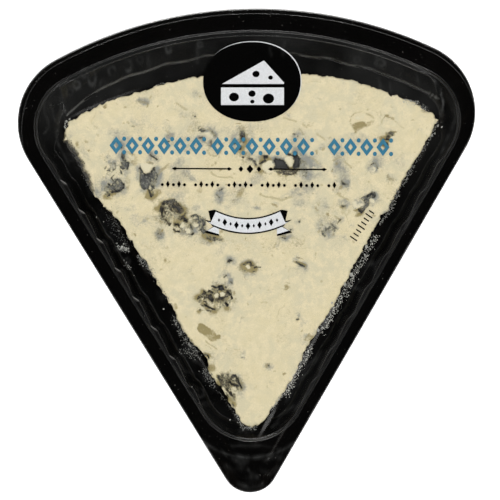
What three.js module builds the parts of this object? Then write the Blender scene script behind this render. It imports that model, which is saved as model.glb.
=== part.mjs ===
// A wedge of blue cheese sealed in its own black formed tray under a clear lidding film.
// Millimetres, +Z up. The wedge points towards -Y, its round side is at +Y and +X is to the right.
// The origin is the middle of the base, straight under the middle of the pack's outline.

import * as THREE from "three";

// ---- Driving dimensions -------------------------------------------------------------------

// The angle between each straight side and the middle line, the same for tray, mouth and cheese.
const halfAngle = THREE.MathUtils.degToRad(30.9);

// Each outline is placed by its apex, where its two straight sides would meet, and by the centre
// of its arc. Both are measured from the apex of the pack's cut edge.
const packEdge = { apex: [0, 0], arcCentre: [2, 25.1], arcRadius: 116.8, tipRadius: 7.9, cornerRadius: 19.7 };
const trayMouth = { apex: [0.45, 7.3], arcCentre: [1.5, 25.1], arcRadius: 110.5, tipRadius: 15.4, cornerRadius: 14.8 };
const cheeseEdge = { apex: [1.1, 21.5], arcCentre: [2.2, 11], arcRadius: 112.8, tipRadius: 4.2, cornerRadius: 2.6 };

const sheetThickness = 0.6;
const flangeHeight = 17.2;        // top of the sealed flange above the base
const filmThickness = 0.25;
const contactGap = 0.1;           // left open between pieces that lie on each other
const cheeseHeight = flangeHeight - sheetThickness - contactGap;   // flush with the flange

const shoulderWidth = 0.5;        // ledge just inside the mouth
const arcShoulderWidth = 1.2;
const shoulderDrop = 0.8;
const wallDraft = 1.3;            // how far the wall leans in from the mouth to the floor
const arcFoot = { centre: [2.9, 25.8], radius: 104.7 };   // foot of the wall at the round side
const arcFootStep = 0.03;         // share of the arc in which that foot steps in from the corners
const footRadius = 2;
const sideFlutes = 9;
const sideFluteDepth = 0.55;
const arcFlutes = 9;
const arcFluteDepth = 0.9;
const arcFluteFade = 0.22;        // share of the arc, from each end, in which the flutes grow

const lipWidth = 1.3;             // unsealed lip outside the seal along the arc and the corners
const lipDrop = 0.4;
const filmLipDrop = 0.2;          // the film follows the lip only part of the way
const moatDip = 0.5;              // how far the film hangs between the tray and the cheese
const filmInset = 1.5;            // from the cheese's edge to where the film starts to hang
const tabLift = 0.9;              // how far the unsealed film stands off the peel tab at the tip
const tabEdgeLift = 0.3;

const cheeseEdgeRadius = 0.8;
const cheeseUnevenness = 0.35;    // depth of the waves along the cut sides
const cheeseSpread = 0.5;         // how much wider the soft cheese is half way down

const finishes = {
  tray: { color: 0x0a0a0b, roughness: 0.18, metalness: 0 },
  cheese: { color: 0xe0d4b0, roughness: 0.6, metalness: 0 },
  film: { color: 0xdfe4e6, roughness: 0.08, metalness: 0, transparent: true, opacity: 0.25 },
};

// How many points each stretch of an outline is divided into. Five points draw one flute.
const trayCounts = { tip: 12, side: 5 * sideFlutes, corner: 10, arc: 5 * arcFlutes };
const cheeseCounts = { tip: 7, side: 24, corner: 5, arc: 28 };
const filmCounts = { tip: 14, side: 7, corner: 10, arc: 26 };

// ---- Outlines -----------------------------------------------------------------------------

// The centre of the circle that rounds the corner between a straight side and the arc. It lies
// cornerRadius inside both: on the side's line moved inwards, at arcRadius - cornerRadius from
// the arc's centre. turn is 1 for the right corner and -1 for the left.
function cornerCentre({ apex, arcCentre, arcRadius, cornerRadius }, turn) {
  const along = new THREE.Vector2(turn * Math.sin(halfAngle), Math.cos(halfAngle));
  const inward = new THREE.Vector2(-turn * Math.cos(halfAngle), Math.sin(halfAngle));
  const middle = new THREE.Vector2(...arcCentre);
  const start = new THREE.Vector2(...apex).addScaledVector(inward, cornerRadius);
  const offset = start.clone().sub(middle);
  const reach = arcRadius - cornerRadius;
  const half = offset.dot(along);
  const travel = -half + Math.sqrt(half * half - offset.lengthSq() + reach * reach);
  return start.addScaledVector(along, travel);
}

// The points of one round stretch, without its last one, each with its outward direction.
function roundStretch(name, centre, radius, from, to, count) {
  return Array.from({ length: count }, (_, i) => {
    const share = i / count;
    const angle = THREE.MathUtils.lerp(from, to, share);
    const outward = new THREE.Vector2(Math.cos(angle), Math.sin(angle));
    return { stretch: name, share, outward, point: outward.clone().multiplyScalar(radius).add(centre) };
  });
}

// The points of one straight stretch, without its last one, each with its outward direction.
function straightStretch(name, start, end, outward, count) {
  return Array.from({ length: count }, (_, i) => {
    const share = i / count;
    return { stretch: name, share, outward: outward.clone(), point: start.clone().lerp(end, share) };
  });
}

// A closed wedge outline, anticlockwise from the left end of its round tip. Outlines with the
// same counts have matching points, so any two of them can be joined by a strip of faces.
function wedgeOutline(shape, counts) {
  const { apex, arcCentre, arcRadius, tipRadius, cornerRadius } = shape;
  const arcMiddle = new THREE.Vector2(...arcCentre);
  const tip = new THREE.Vector2(apex[0], apex[1] + tipRadius / Math.sin(halfAngle));
  const right = cornerCentre(shape, 1);
  const left = cornerCentre(shape, -1);
  const rightAngle = right.clone().sub(arcMiddle).angle();
  const leftAngle = left.clone().sub(arcMiddle).angle();
  const outRight = new THREE.Vector2(Math.cos(halfAngle), -Math.sin(halfAngle));
  const outLeft = new THREE.Vector2(-outRight.x, outRight.y);
  const touch = (centre, outward, radius) => centre.clone().addScaledVector(outward, radius);
  const rightSide = [touch(tip, outRight, tipRadius), touch(right, outRight, cornerRadius)];
  const leftSide = [touch(left, outLeft, cornerRadius), touch(tip, outLeft, tipRadius)];
  return [
    ...roundStretch("tip", tip, tipRadius, Math.PI + halfAngle, 2 * Math.PI - halfAngle, counts.tip),
    ...straightStretch("side", ...rightSide, outRight, counts.side),
    ...roundStretch("corner", right, cornerRadius, -halfAngle, rightAngle, counts.corner),
    ...roundStretch("arc", arcMiddle, arcRadius, rightAngle, leftAngle, counts.arc),
    ...roundStretch("corner", left, cornerRadius, leftAngle, Math.PI + halfAngle, counts.corner),
    ...straightStretch("side", ...leftSide, outLeft, counts.side),
  ];
}

// 0 at both ends of a stretch and 1 in its middle part, with smooth steps between.
function plateau(share, stepLength) {
  return THREE.MathUtils.smoothstep(Math.min(share, 1 - share), 0, stepLength);
}

// How much of the lip there is: all of it along the arc, fading out round the two corners.
function lipShare({ stretch, share, outward }) {
  if (stretch === "arc") return 1;
  if (stretch !== "corner") return 0;
  const fromArc = outward.x > 0 ? 1 - share : share;
  return 1 - THREE.MathUtils.smoothstep(fromArc, 0.1, 0.9);
}

// ---- Rings and solids ---------------------------------------------------------------------

// Each point of an outline moved inwards and given a height. Both may be numbers or functions
// of the outline's point.
function ring(outline, inset, height) {
  const at = (value, place) => (typeof value === "function" ? value(place) : value);
  return outline.map((place) => {
    const flat = place.point.clone().addScaledVector(place.outward, -at(inset, place));
    return new THREE.Vector3(flat.x, flat.y, at(height, place));
  });
}

// The points that lie a share of the way from one ring's points to another's, in plan only.
function between(inner, outer, share) {
  return inner.map((place, i) => {
    const point = place.point.clone().lerp(outer[i].point, share);
    return { ...place, point };
  });
}

// A closed solid from a stack of matching rings. The first ring is closed by a fan that faces
// down, the last by one that faces up, and every pair of rings by a strip that faces outwards.
function ringSolid(rings) {
  const count = rings[0].length;
  const positions = rings.flat().flatMap((point) => point.toArray());
  const faces = [];
  for (let level = 0; level + 1 < rings.length; level++) {
    for (let i = 0; i < count; i++) {
      const a = level * count + i;
      const b = level * count + ((i + 1) % count);
      faces.push(a, b, b + count, a, b + count, a + count);
    }
  }
  const addFan = (level, facesUp) => {
    const middle = rings[level].reduce((sum, point) => sum.add(point), new THREE.Vector3());
    positions.push(...middle.divideScalar(count).toArray());
    const hub = positions.length / 3 - 1;
    for (let i = 0; i < count; i++) {
      const a = level * count + i;
      const b = level * count + ((i + 1) % count);
      faces.push(hub, facesUp ? a : b, facesUp ? b : a);
    }
  };
  addFan(0, false);
  addFan(rings.length - 1, true);
  const geometry = new THREE.BufferGeometry();
  geometry.setAttribute("position", new THREE.Float32BufferAttribute(positions, 3));
  geometry.setIndex(faces);
  return geometry;
}

// ---- The tray: flange, shoulder, fluted walls and flat floor, from one formed sheet -----------

function buildTray() {
  const edge = wedgeOutline(packEdge, trayCounts);
  const mouth = wedgeOutline(trayMouth, trayCounts);
  const onArc = (place) => (place.stretch === "arc" ? plateau(place.share, arcFootStep) : 0);
  const shoulder = (place) => THREE.MathUtils.lerp(shoulderWidth, arcShoulderWidth, onArc(place));
  const footCentre = new THREE.Vector2(...arcFoot.centre);
  const toArcFoot = (place) => place.point.distanceTo(footCentre) - arcFoot.radius;
  const foot = (place) => THREE.MathUtils.lerp(wallDraft, toArcFoot(place), onArc(place));

  // The flutes are rounded pilasters that stand in from the wall, full at the foot.
  const flute = ({ stretch, share }) => {
    const wave = (flutes) => 0.5 - 0.5 * Math.cos(2 * Math.PI * flutes * share);
    if (stretch === "side") return sideFluteDepth * wave(sideFlutes);
    if (stretch === "arc") return arcFluteDepth * wave(arcFlutes) * plateau(share, arcFluteFade);
    return 0;
  };

  // From the mouth down: how far in from the shoulder towards the foot, how much of the flute's
  // depth, and the height above the base's lower face.
  const floorTop = sheetThickness;
  const levels = [
    { lean: 0.35, fluting: 0.5, height: flangeHeight - 5 },
    { lean: 0.75, fluting: 0.9, height: floorTop + 6 },
    { lean: 1, fluting: 1, height: floorTop + footRadius },
    { lean: 1, fluting: 0.8, extra: 0.35 * footRadius, height: floorTop + 0.3 * footRadius },
    { lean: 1, fluting: 0.3, extra: footRadius, height: floorTop },
  ];
  const wallRing = (level, outwards, lower) => {
    const inset = (place) => {
      const leaning = THREE.MathUtils.lerp(shoulder(place), foot(place), level.lean);
      return leaning + level.fluting * flute(place) + (level.extra ?? 0) - outwards;
    };
    return ring(mouth, inset, level.height - lower);
  };
  const lip = (place) => lipWidth * lipShare(place);
  const lipHeight = (place) => flangeHeight - (lipDrop / lipWidth) * lip(place);

  // The lower face keeps the sheet's thickness: outwards from the walls and below the floor.
  const under = [...levels].reverse().map((level) => {
    const isFloor = level.height === floorTop;
    return wallRing(level, isFloor ? 0 : sheetThickness, isFloor ? sheetThickness : 0.3 * sheetThickness);
  });
  const upper = [...levels].map((level) => wallRing(level, 0, 0));
  return ringSolid([
    ...under,
    ring(mouth, (place) => shoulder(place) - sheetThickness, flangeHeight - shoulderDrop - sheetThickness),
    ring(mouth, -sheetThickness, flangeHeight - sheetThickness),
    ring(edge, (place) => lip(place) + 0.2, flangeHeight - sheetThickness),
    ring(edge, 0, (place) => lipHeight(place) - sheetThickness),
    ring(edge, 0, lipHeight),
    ring(edge, (place) => lip(place) + 0.2, flangeHeight),
    ring(mouth, 0, flangeHeight),
    ring(mouth, shoulder, flangeHeight - shoulderDrop),
    ...upper,
  ]);
}

// ---- The cheese: one cut wedge, soft and a little uneven --------------------------------------

function buildCheese() {
  const outline = wedgeOutline(cheeseEdge, cheeseCounts);

  // Waves of unlike length along the straight cuts and the round side, none at tip and corners.
  const uneven = ({ stretch, share, point }) => {
    const along = point.x * 0.21 + point.y * 0.34;
    const waves = Math.sin(along) + 0.6 * Math.sin(2.3 * along + 1.1) + 0.4 * Math.sin(4.9 * along + 2.3);
    const depth = stretch === "side" || stretch === "arc" ? plateau(share, 0.1) : 0;
    return 0.5 * cheeseUnevenness * depth * waves;
  };
  const bottom = sheetThickness + contactGap;
  const top = bottom + cheeseHeight;
  const layer = (inset, height) => ring(outline, (place) => inset + uneven(place), height);
  return ringSolid([
    layer(0.5 * cheeseEdgeRadius, bottom),
    layer(-0.6 * cheeseSpread, bottom + cheeseEdgeRadius),
    layer(-cheeseSpread, bottom + 0.45 * cheeseHeight),
    layer(-0.3 * cheeseSpread, top - 2 * cheeseEdgeRadius),
    layer(0.3 * cheeseEdgeRadius, top - 0.4 * cheeseEdgeRadius),
    layer(cheeseEdgeRadius, top),
  ]);
}

// ---- The lidding film: sealed on the flange, resting on the cheese, loose on the peel tab -----

function buildLidFilm() {
  const edge = wedgeOutline(packEdge, filmCounts);
  const mouth = wedgeOutline(trayMouth, filmCounts);
  const cheese = wedgeOutline(cheeseEdge, filmCounts);
  const base = flangeHeight + contactGap;
  const atTip = ({ stretch, share }) => (stretch === "tip" ? plateau(share, 0.35) : 0);

  // Plan rings from the cheese out to the cut edge, with the height of the film's lower face.
  const rings = [
    { places: cheese, inset: filmInset, height: () => base },
    { places: between(cheese, mouth, 0.5), inset: 0, height: () => base - moatDip },
    { places: mouth, inset: 0, height: () => base },
    { places: between(mouth, edge, 0.35), inset: 0, height: () => base },
    { places: between(mouth, edge, 0.78), inset: 0, height: (place) => base + tabLift * atTip(place) },
    {
      places: edge,
      inset: 0,
      height: (place) => base + tabEdgeLift * atTip(place) - filmLipDrop * lipShare(place),
    },
  ];
  const lower = rings.map(({ places, inset, height }) => ring(places, inset, height));
  const lift = (points) => points.map((point) => point.clone().setZ(point.z + filmThickness));
  return ringSolid([...lower, ...lower.map(lift).reverse()]);
}

// ---- Assembly -----------------------------------------------------------------------------

function namedMesh(name, geometry, finish) {
  const mesh = new THREE.Mesh(geometry, new THREE.MeshStandardMaterial(finish));
  mesh.name = name;
  return mesh;
}

const pack = new THREE.Group();
pack.add(
  namedMesh("tray", buildTray(), finishes.tray),
  namedMesh("cheese", buildCheese(), finishes.cheese),
  namedMesh("lid_film", buildLidFilm(), finishes.film),
);

// The outlines start from the pack's apex; this brings the middle of the cut edge over the origin.
const cutEdge = new THREE.Box2().setFromPoints(wedgeOutline(packEdge, trayCounts).map(({ point }) => point));
const middle = cutEdge.getCenter(new THREE.Vector2());
pack.position.set(-middle.x, -middle.y, 0);

export default pack;
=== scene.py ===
import math

import bpy
import numpy as np
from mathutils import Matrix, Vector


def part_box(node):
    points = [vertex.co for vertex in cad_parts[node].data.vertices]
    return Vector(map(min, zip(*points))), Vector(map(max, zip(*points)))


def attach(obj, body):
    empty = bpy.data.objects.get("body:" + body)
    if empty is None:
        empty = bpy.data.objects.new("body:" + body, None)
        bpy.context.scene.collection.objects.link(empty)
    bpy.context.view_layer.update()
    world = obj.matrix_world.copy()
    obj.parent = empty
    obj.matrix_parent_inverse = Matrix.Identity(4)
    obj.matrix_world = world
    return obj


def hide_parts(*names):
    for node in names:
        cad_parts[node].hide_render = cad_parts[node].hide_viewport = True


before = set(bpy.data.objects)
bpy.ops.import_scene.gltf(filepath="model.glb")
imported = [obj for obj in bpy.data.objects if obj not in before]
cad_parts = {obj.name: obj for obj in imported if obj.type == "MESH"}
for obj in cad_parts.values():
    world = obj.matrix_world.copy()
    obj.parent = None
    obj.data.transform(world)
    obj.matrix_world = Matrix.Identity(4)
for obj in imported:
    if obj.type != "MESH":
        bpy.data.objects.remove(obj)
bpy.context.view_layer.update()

mm = 0.001
bodyName = "root"

# How the photo lies on the part. It was taken from straight above, and the pack lies a little turned.
photo = dict(
    pixelSize=0.2778,                # mm on the film
    turn=math.radians(0.871),        # anticlockwise
    apexPixel=(250.89, 519.34),      # where the pack's two straight sides would meet
    middlePixel=(250.0, 250.0),
    cameraHeight=900.0,              # mm above the film
)

# The outlines that the CAD pieces have, each placed by its apex and the middle of its arc.
halfAngle = math.radians(30.9)
apexPlace = np.array([-0.4704, -74.6901])   # the pack's apex in the part's frame
packEdge = dict(apex=(0, 0), arcMiddle=(2, 25.1), arcRadius=116.8, tipRadius=7.9, cornerRadius=19.7)
trayMouth = dict(apex=(0.45, 7.3), arcMiddle=(1.5, 25.1), arcRadius=110.5, tipRadius=15.4, cornerRadius=14.8)
cheeseEdge = dict(apex=(1.1, 21.5), arcMiddle=(2.2, 11), arcRadius=112.8, tipRadius=4.2, cornerRadius=2.6)

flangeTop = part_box("tray")[1].z / mm
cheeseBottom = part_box("cheese")[0].z / mm
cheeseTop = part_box("cheese")[1].z / mm
sheet = 0.6                          # thickness of the tray's sheet
floorTop = sheet


# A smooth step from 0 at low to 1 at high: 3s squared minus 2s cubed.
def step(low, high, value):
    share = np.clip((value - low) / (high - low), 0, 1)
    return share * share * (3 - 2 * share)


# A bump of height 1 at 0: e to the minus half of (value over width) squared.
def bell(value, width):
    return np.exp(-0.5 * (value / width) ** 2)


# Random values from -1 to 1 on a lattice of whole numbers, joined by smooth steps.
def latticeNoise(x, y, seed):
    table = np.random.default_rng(seed).uniform(-1, 1, (128, 128))
    column, row = np.floor(x).astype(int), np.floor(y).astype(int)
    u, v = x - column, y - row
    u = u * u * u * (u * (6 * u - 15) + 10)
    v = v * v * v * (v * (6 * v - 15) + 10)
    low = table[row % 128, column % 128] * (1 - u) + table[row % 128, (column + 1) % 128] * u
    high = table[(row + 1) % 128, column % 128] * (1 - u) + table[(row + 1) % 128, (column + 1) % 128] * u
    return low * (1 - v) + high * v


# Lattice noise summed over octaves, each half as long and half as strong as the last.
def cloudNoise(x, y, size, octaves, seed):
    total = np.zeros(np.shape(x))
    for octave in range(octaves):
        scale = 2**octave / size
        shifted = x * scale + 17.3 * octave, y * scale - 9.1 * octave
        total += latticeNoise(*shifted, seed + octave) * 0.5**octave
    return total


# A place on the part for a pixel of the photo. Things below the film show nearer to its middle.
def fromPhoto(x, y, height=None):
    depth = 0 if height is None else flangeTop - height
    spread = (photo["cameraHeight"] + depth) / photo["cameraHeight"]
    x = photo["middlePixel"][0] + (np.asarray(x, float) - photo["middlePixel"][0]) * spread
    y = photo["middlePixel"][1] + (np.asarray(y, float) - photo["middlePixel"][1]) * spread
    right, up = x - photo["apexPixel"][0], photo["apexPixel"][1] - y
    cosine, sine = math.cos(photo["turn"]), math.sin(photo["turn"])
    partX = (right * cosine + up * sine) * photo["pixelSize"] + apexPlace[0]
    partY = (up * cosine - right * sine) * photo["pixelSize"] + apexPlace[1]
    return np.stack([partX, partY], -1)


# The pixel of the photo over a place on the film.
def toPhoto(x, y):
    x, y = (x - apexPlace[0]) / photo["pixelSize"], (y - apexPlace[1]) / photo["pixelSize"]
    cosine, sine = math.cos(photo["turn"]), math.sin(photo["turn"])
    return photo["apexPixel"][0] + x * cosine - y * sine, photo["apexPixel"][1] - x * sine - y * cosine


# The middle of the circle that rounds the corner between a straight side and the arc: on the side's
# line moved in by the corner's radius, at the arc's radius less the corner's from the arc's middle.
def cornerMiddle(shape, turn):
    along = np.array([turn * math.sin(halfAngle), math.cos(halfAngle)])
    inward = np.array([-turn * math.cos(halfAngle), math.sin(halfAngle)])
    start = np.array(shape["apex"]) + inward * shape["cornerRadius"]
    offset = start - np.array(shape["arcMiddle"])
    reach = shape["arcRadius"] - shape["cornerRadius"]
    half = offset @ along
    return start + along * (math.sqrt(half * half - offset @ offset + reach * reach) - half)


# A closed wedge outline, anticlockwise from the left end of its round tip: a tip arc, a straight
# side, a corner arc, the long arc, a corner arc and the other side. Outlines match point by point.
def wedgeOutline(shape, counts):
    tip = np.array([shape["apex"][0], shape["apex"][1] + shape["tipRadius"] / math.sin(halfAngle)])
    arcMiddle = np.array(shape["arcMiddle"], float)
    right, left = cornerMiddle(shape, 1), cornerMiddle(shape, -1)
    rightAngle = math.atan2(*(right - arcMiddle)[::-1])
    leftAngle = math.atan2(*(left - arcMiddle)[::-1])
    outRight = np.array([math.cos(halfAngle), -math.sin(halfAngle)])
    outLeft = outRight * [-1, 1]
    stretches = []

    def addRound(name, middle, radius, start, end, count):
        share = np.arange(count) / count
        angle = start + (end - start) * share
        outward = np.stack([np.cos(angle), np.sin(angle)], 1)
        stretches.append((name, share, outward, middle + radius * outward))

    def addStraight(name, start, end, outward, count):
        share = np.arange(count) / count
        point = start + (end - start) * share[:, None]
        stretches.append((name, share, np.tile(outward, (count, 1)), point))

    tipRadius, cornerRadius = shape["tipRadius"], shape["cornerRadius"]
    tipStart, tipEnd = math.pi + halfAngle, 2 * math.pi - halfAngle
    addRound("tip", tip, tipRadius, tipStart, tipEnd, counts["tip"])
    rightEnds = tip + outRight * tipRadius, right + outRight * cornerRadius
    addStraight("right", *rightEnds, outRight, counts["side"])
    addRound("rightCorner", right, cornerRadius, -halfAngle, rightAngle, counts["corner"])
    addRound("arc", arcMiddle, shape["arcRadius"], rightAngle, leftAngle, counts["arc"])
    addRound("leftCorner", left, cornerRadius, leftAngle, math.pi + halfAngle, counts["corner"])
    leftEnds = left + outLeft * cornerRadius, tip + outLeft * tipRadius
    addStraight("left", *leftEnds, outLeft, counts["side"])
    return dict(
        stretch=np.concatenate([np.full(len(share), name) for name, share, _, _ in stretches]),
        share=np.concatenate([share for _, share, _, _ in stretches]),
        outward=np.concatenate([outward for _, _, outward, _ in stretches]),
        point=np.concatenate([point for _, _, _, point in stretches]) + apexPlace,
    )


# How far a place lies inside a wedge outline with sharp corners: its distance to the nearest side.
def depthInside(shape, x, y):
    apex, middle = np.array(shape["apex"]) + apexPlace, np.array(shape["arcMiddle"]) + apexPlace
    cosine, sine = math.cos(halfAngle), math.sin(halfAngle)
    fromRight = (y - apex[1]) * sine - (x - apex[0]) * cosine
    fromLeft = (y - apex[1]) * sine + (x - apex[0]) * cosine
    fromArc = shape["arcRadius"] - np.hypot(x - middle[0], y - middle[1])
    return np.minimum(np.minimum(fromRight, fromLeft), fromArc)


# 0 at both ends of a stretch and 1 in its middle part.
def plateau(share, length):
    return step(0, length, np.minimum(share, 1 - share))


# The distance from places to a line of points, given as x, y, x, y and so on.
def distanceToLine(x, y, line):
    line = np.reshape(line, (-1, 2))
    best = np.full(np.shape(x), 1e9)
    for (ax, ay), (bx, by) in zip(line[:-1], line[1:]):
        length = (bx - ax) ** 2 + (by - ay) ** 2
        share = np.clip(((x - ax) * (bx - ax) + (y - ay) * (by - ay)) / length, 0, 1)
        best = np.minimum(best, np.hypot(x - ax - share * (bx - ax), y - ay - share * (by - ay)))
    return best


# A new piece from vertices in millimetres and faces, with its material, slot and replaced nodes.
def makePiece(name, vertices, faces, material, replaced=(), fields=None, smooth=True):
    mesh = bpy.data.meshes.new(name)
    mesh.from_pydata(np.asarray(vertices, float) * mm, [], faces)
    mesh.polygons.foreach_set("use_smooth", np.full(len(mesh.polygons), smooth))
    for field, values in (fields or {}).items():
        layer = mesh.attributes.new(field, "FLOAT", "POINT")
        layer.data.foreach_set("value", np.asarray(values, np.float32))
    mesh.validate()
    piece = bpy.data.objects.new(name, mesh)
    bpy.context.scene.collection.objects.link(piece)
    piece.data.materials.append(material)
    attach(piece, bodyName)
    if replaced:
        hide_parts(*replaced)
    print(name, len(mesh.vertices), "vertices", len(mesh.polygons), "faces")
    return piece


# The faces of a stack of matching closed rings, each joined to the next by a strip of quads.
def ringFaces(ringCount, count):
    ring, place = np.meshgrid(np.arange(ringCount - 1), np.arange(count), indexing="ij")
    a = (ring * count + place).ravel()
    b = (ring * count + (place + 1) % count).ravel()
    return np.stack([a, b, b + count, a + count], 1)


# A closed solid from rings (rings, places, 3): strips between them and a fan at each end. The
# first fan faces down, the last one up.
def ringSolid(rings):
    ringCount, count = rings.shape[:2]
    vertices = np.concatenate([rings.reshape(-1, 3), rings[[0, -1]].mean(1)])
    place = np.arange(count)
    after = (place + 1) % count
    first, last = ringCount * count, ringCount * count + 1
    top = (ringCount - 1) * count
    faces = ringFaces(ringCount, count).tolist()
    faces += np.stack([np.full(count, first), after, place], 1).tolist()
    faces += np.stack([np.full(count, last), top + place, top + after], 1).tolist()
    return vertices, faces


# A node in a material's tree, with its properties and input values set by name.
def addNode(tree, kind, inputs=None, **settings):
    node = tree.nodes.new(kind)
    for name, value in settings.items():
        setattr(node, name, value)
    for name, value in (inputs or {}).items():
        if isinstance(value, bpy.types.NodeSocket):
            tree.links.new(value, node.inputs[name])
        else:
            node.inputs[name].default_value = value
    return node


# A material with its Principled shader and the part's own coordinates.
def newMaterial(name, **inputs):
    material = bpy.data.materials.new(name)
    material.use_nodes = True
    tree = material.node_tree
    shader = tree.nodes["Principled BSDF"]
    for socket, value in inputs.items():
        shader.inputs[socket].default_value = value
    place = addNode(tree, "ShaderNodeTexCoord").outputs["Object"]
    return material, tree, shader, place


# One colour laid over another by a mask: the first where it is 0, the second where it is 1.
def mixColours(tree, mask, first, second):
    node = addNode(tree, "ShaderNodeMix", data_type="RGBA")
    for index, value in ((0, mask), (6, first), (7, second)):
        if isinstance(value, bpy.types.NodeSocket):
            tree.links.new(value, node.inputs[index])
        else:
            node.inputs[index].default_value = value
    return node.outputs[2]


# A sum, product or other sum of two values in a material.
def arithmetic(tree, operation, first, second=0.0, clamp=False):
    inputs = {0: first, 1: second}
    return addNode(tree, "ShaderNodeMath", inputs, operation=operation, use_clamp=clamp).outputs[0]


# Cloudy noise about 0.5, with so many swirls to a metre.
def noiseField(tree, place, scale, detail=4.0, roughness=0.5):
    inputs = dict(Vector=place, Scale=scale, Detail=detail, Roughness=roughness)
    return addNode(tree, "ShaderNodeTexNoise", inputs).outputs["Fac"]


# A value from 0 at low to 1 at high, smoothed.
def rampField(tree, value, low, high):
    inputs = {"Value": value, "From Min": low, "From Max": high}
    return addNode(tree, "ShaderNodeMapRange", inputs, interpolation_type="SMOOTHSTEP").outputs["Result"]


# A value that a mesh holds at its vertices.
def meshField(tree, name):
    return addNode(tree, "ShaderNodeAttribute", attribute_name=name).outputs["Fac"]


# Fine grain as a node group: noise that goes smoothly from 0 where it is low to 1 where it is high.
def makeGrainGroup():
    group = bpy.data.node_groups.new("fine grain", "ShaderNodeTree")
    group.interface.new_socket(name="Place", in_out="INPUT", socket_type="NodeSocketVector")
    for name in ("Scale", "Detail", "Roughness", "Low", "High"):
        group.interface.new_socket(name=name, in_out="INPUT", socket_type="NodeSocketFloat")
    group.interface.new_socket(name="Mask", in_out="OUTPUT", socket_type="NodeSocketFloat")
    given = addNode(group, "NodeGroupInput").outputs
    noise = noiseField(group, given["Place"], given["Scale"], given["Detail"], given["Roughness"])
    mask = rampField(group, noise, given["Low"], given["High"])
    addNode(group, "NodeGroupOutput", {"Mask": mask})
    return group


grainGroup = makeGrainGroup()


# The grain group placed in a material with its own values.
def grainMask(tree, place, scale, detail, roughness, low, high):
    inputs = dict(Place=place, Scale=scale, Detail=detail, Roughness=roughness, Low=low, High=high)
    return addNode(tree, "ShaderNodeGroup", inputs, node_tree=grainGroup).outputs["Mask"]


# The tray, in millimetres. What is called a pixel is a place in the photo.
tray = dict(
    counts=dict(tip=50, side=165, corner=58, arc=280),
    lipWidth=1.3, lipDrop=0.25, lipStart=0.16, flangeStart=0.35, flangeSink=0.02, flangeUneven=0.018,
    mouthRadius=0.35, shoulderDrop=0.8, shoulderWidth=0.5, arcShoulderWidth=1.2, shoulderRadius=0.3,
    wallDraft=1.3, leftCornerDraft=3.4, rightCornerDraft=2.2, tipDraft=0.9, wallUneven=0.05,
    footRadius=1.6, floorUneven=0.02, floorInset=12.0,
    # A flute's shine, and fluteShine, say how much highlight is painted in a dash at its step.
    leftFlutes=dict(length=9.56, depth=1.0, step=2.3, shine=1.0, pixel=(78, 208.5)),
    rightFlutes=dict(length=10.1, depth=0.7, step=3.0, shine=0.06, pixel=(424, 185)),
    fluteAtTop=0.75, fluteShine=0.55,
    # The lip and the shoulder get more painted highlight towards these pixels.
    brightSide=dict(x=(280, 400), y=(140, 90)),      # pixels towards which the lip and shoulder shine more
    slope=dict(
        footMiddle=(2.9, 25.8), footRadius=104.7, fillet=0.9, endWidth=0.7, fromApex=95,
        waveLength=11.7, waveDepth=0.45, wavePixel=(206, 59), wavesIn=(95, 120), wavesOut=(405, 375),
        bendPixel=110, bendWidth=48, bendDepth=2.2, uneven=0.08, unevenScale=0.35, endShine=0.12,
        leftEnd=dict(y=(80, 86, 100, 113, 125), x=(52, 56, 59, 62, 66)),
        rightEnd=dict(y=(60, 72, 82, 92, 103, 112, 120), x=(416, 429, 438.5, 443, 444, 441, 437)),
    ),
)
shoulderTop = flangeTop - tray["shoulderDrop"]
quarterTurn = np.linspace(0, 0.5 * math.pi, 6)       # the steps of every rounded edge
farBelow = 20.0                                      # where the sloped panel isn't


# The height of the sloped panel at the round side, and how much highlight is painted on its foot line and
# ends. It falls from the shoulder's line to the wavy foot line, by the share of the way between the two, and
# ends steeply at both corners. The foot line is an arc with a cosine wave on it that bends inwards at the
# left.
def slopeHeight(x, y):
    s = tray["slope"]
    foot = np.array(s["footMiddle"]) + apexPlace
    arcMiddle = np.array(trayMouth["arcMiddle"]) + apexPlace
    pixelX, pixelY = toPhoto(x, y)
    crest = fromPhoto(*s["wavePixel"], floorTop) - foot
    angle = np.arctan2(y - foot[1], x - foot[0]) - math.atan2(crest[1], crest[0])
    along = angle * s["footRadius"]
    inWaves = step(*s["wavesIn"], pixelX) * step(*s["wavesOut"], pixelX)
    wave = 0.5 * s["waveDepth"] * np.cos(2 * math.pi * along / s["waveLength"]) * inWaves
    wave = wave + s["uneven"] * latticeNoise(along * s["unevenScale"], 0 * along, 51)
    wave = wave - s["bendDepth"] * (np.maximum(s["bendPixel"] - pixelX, 0) / s["bendWidth"]) ** 2
    beyondFoot = np.hypot(x - foot[0], y - foot[1]) - s["footRadius"] - wave
    ledgeRadius = trayMouth["arcRadius"] - tray["arcShoulderWidth"]
    beforeLedge = ledgeRadius - np.hypot(x - arcMiddle[0], y - arcMiddle[1])
    share = beyondFoot / np.maximum(beyondFoot + beforeLedge, 1e-3)
    share = np.where(beforeLedge < 0, 1, np.minimum(share, 1))
    fromLeft = pixelX - np.interp(pixelY, s["leftEnd"]["y"], s["leftEnd"]["x"])
    fromRight = np.interp(pixelY, s["rightEnd"]["y"], s["rightEnd"]["x"]) - pixelX
    width = s["endWidth"] / photo["pixelSize"]
    onRoundSide = y > apexPlace[1] + s["fromApex"]
    present = step(0, width, fromLeft) * step(0, width, fromRight) * onRoundSide
    # painted highlight along the panel's foot line and at its two ends
    footShine = bell(beyondFoot - 0.1, 0.15) * step(0, 3, fromLeft) * step(0, 3, fromRight)
    footShine = footShine * (1.15 + 0.3 * cloudNoise(pixelX, pixelY, 9, 2, 55))
    endShine = s["endShine"] * (bell(fromRight - 2.5, 0.9) + bell(fromLeft - 2, 0.9))
    endShine = endShine * (beforeLedge > 0) * (beyondFoot > 0)
    height = floorTop + share * (shoulderTop - floorTop) - farBelow * (1 - present)
    return height, np.maximum(footShine, endShine) * onRoundSide
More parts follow.
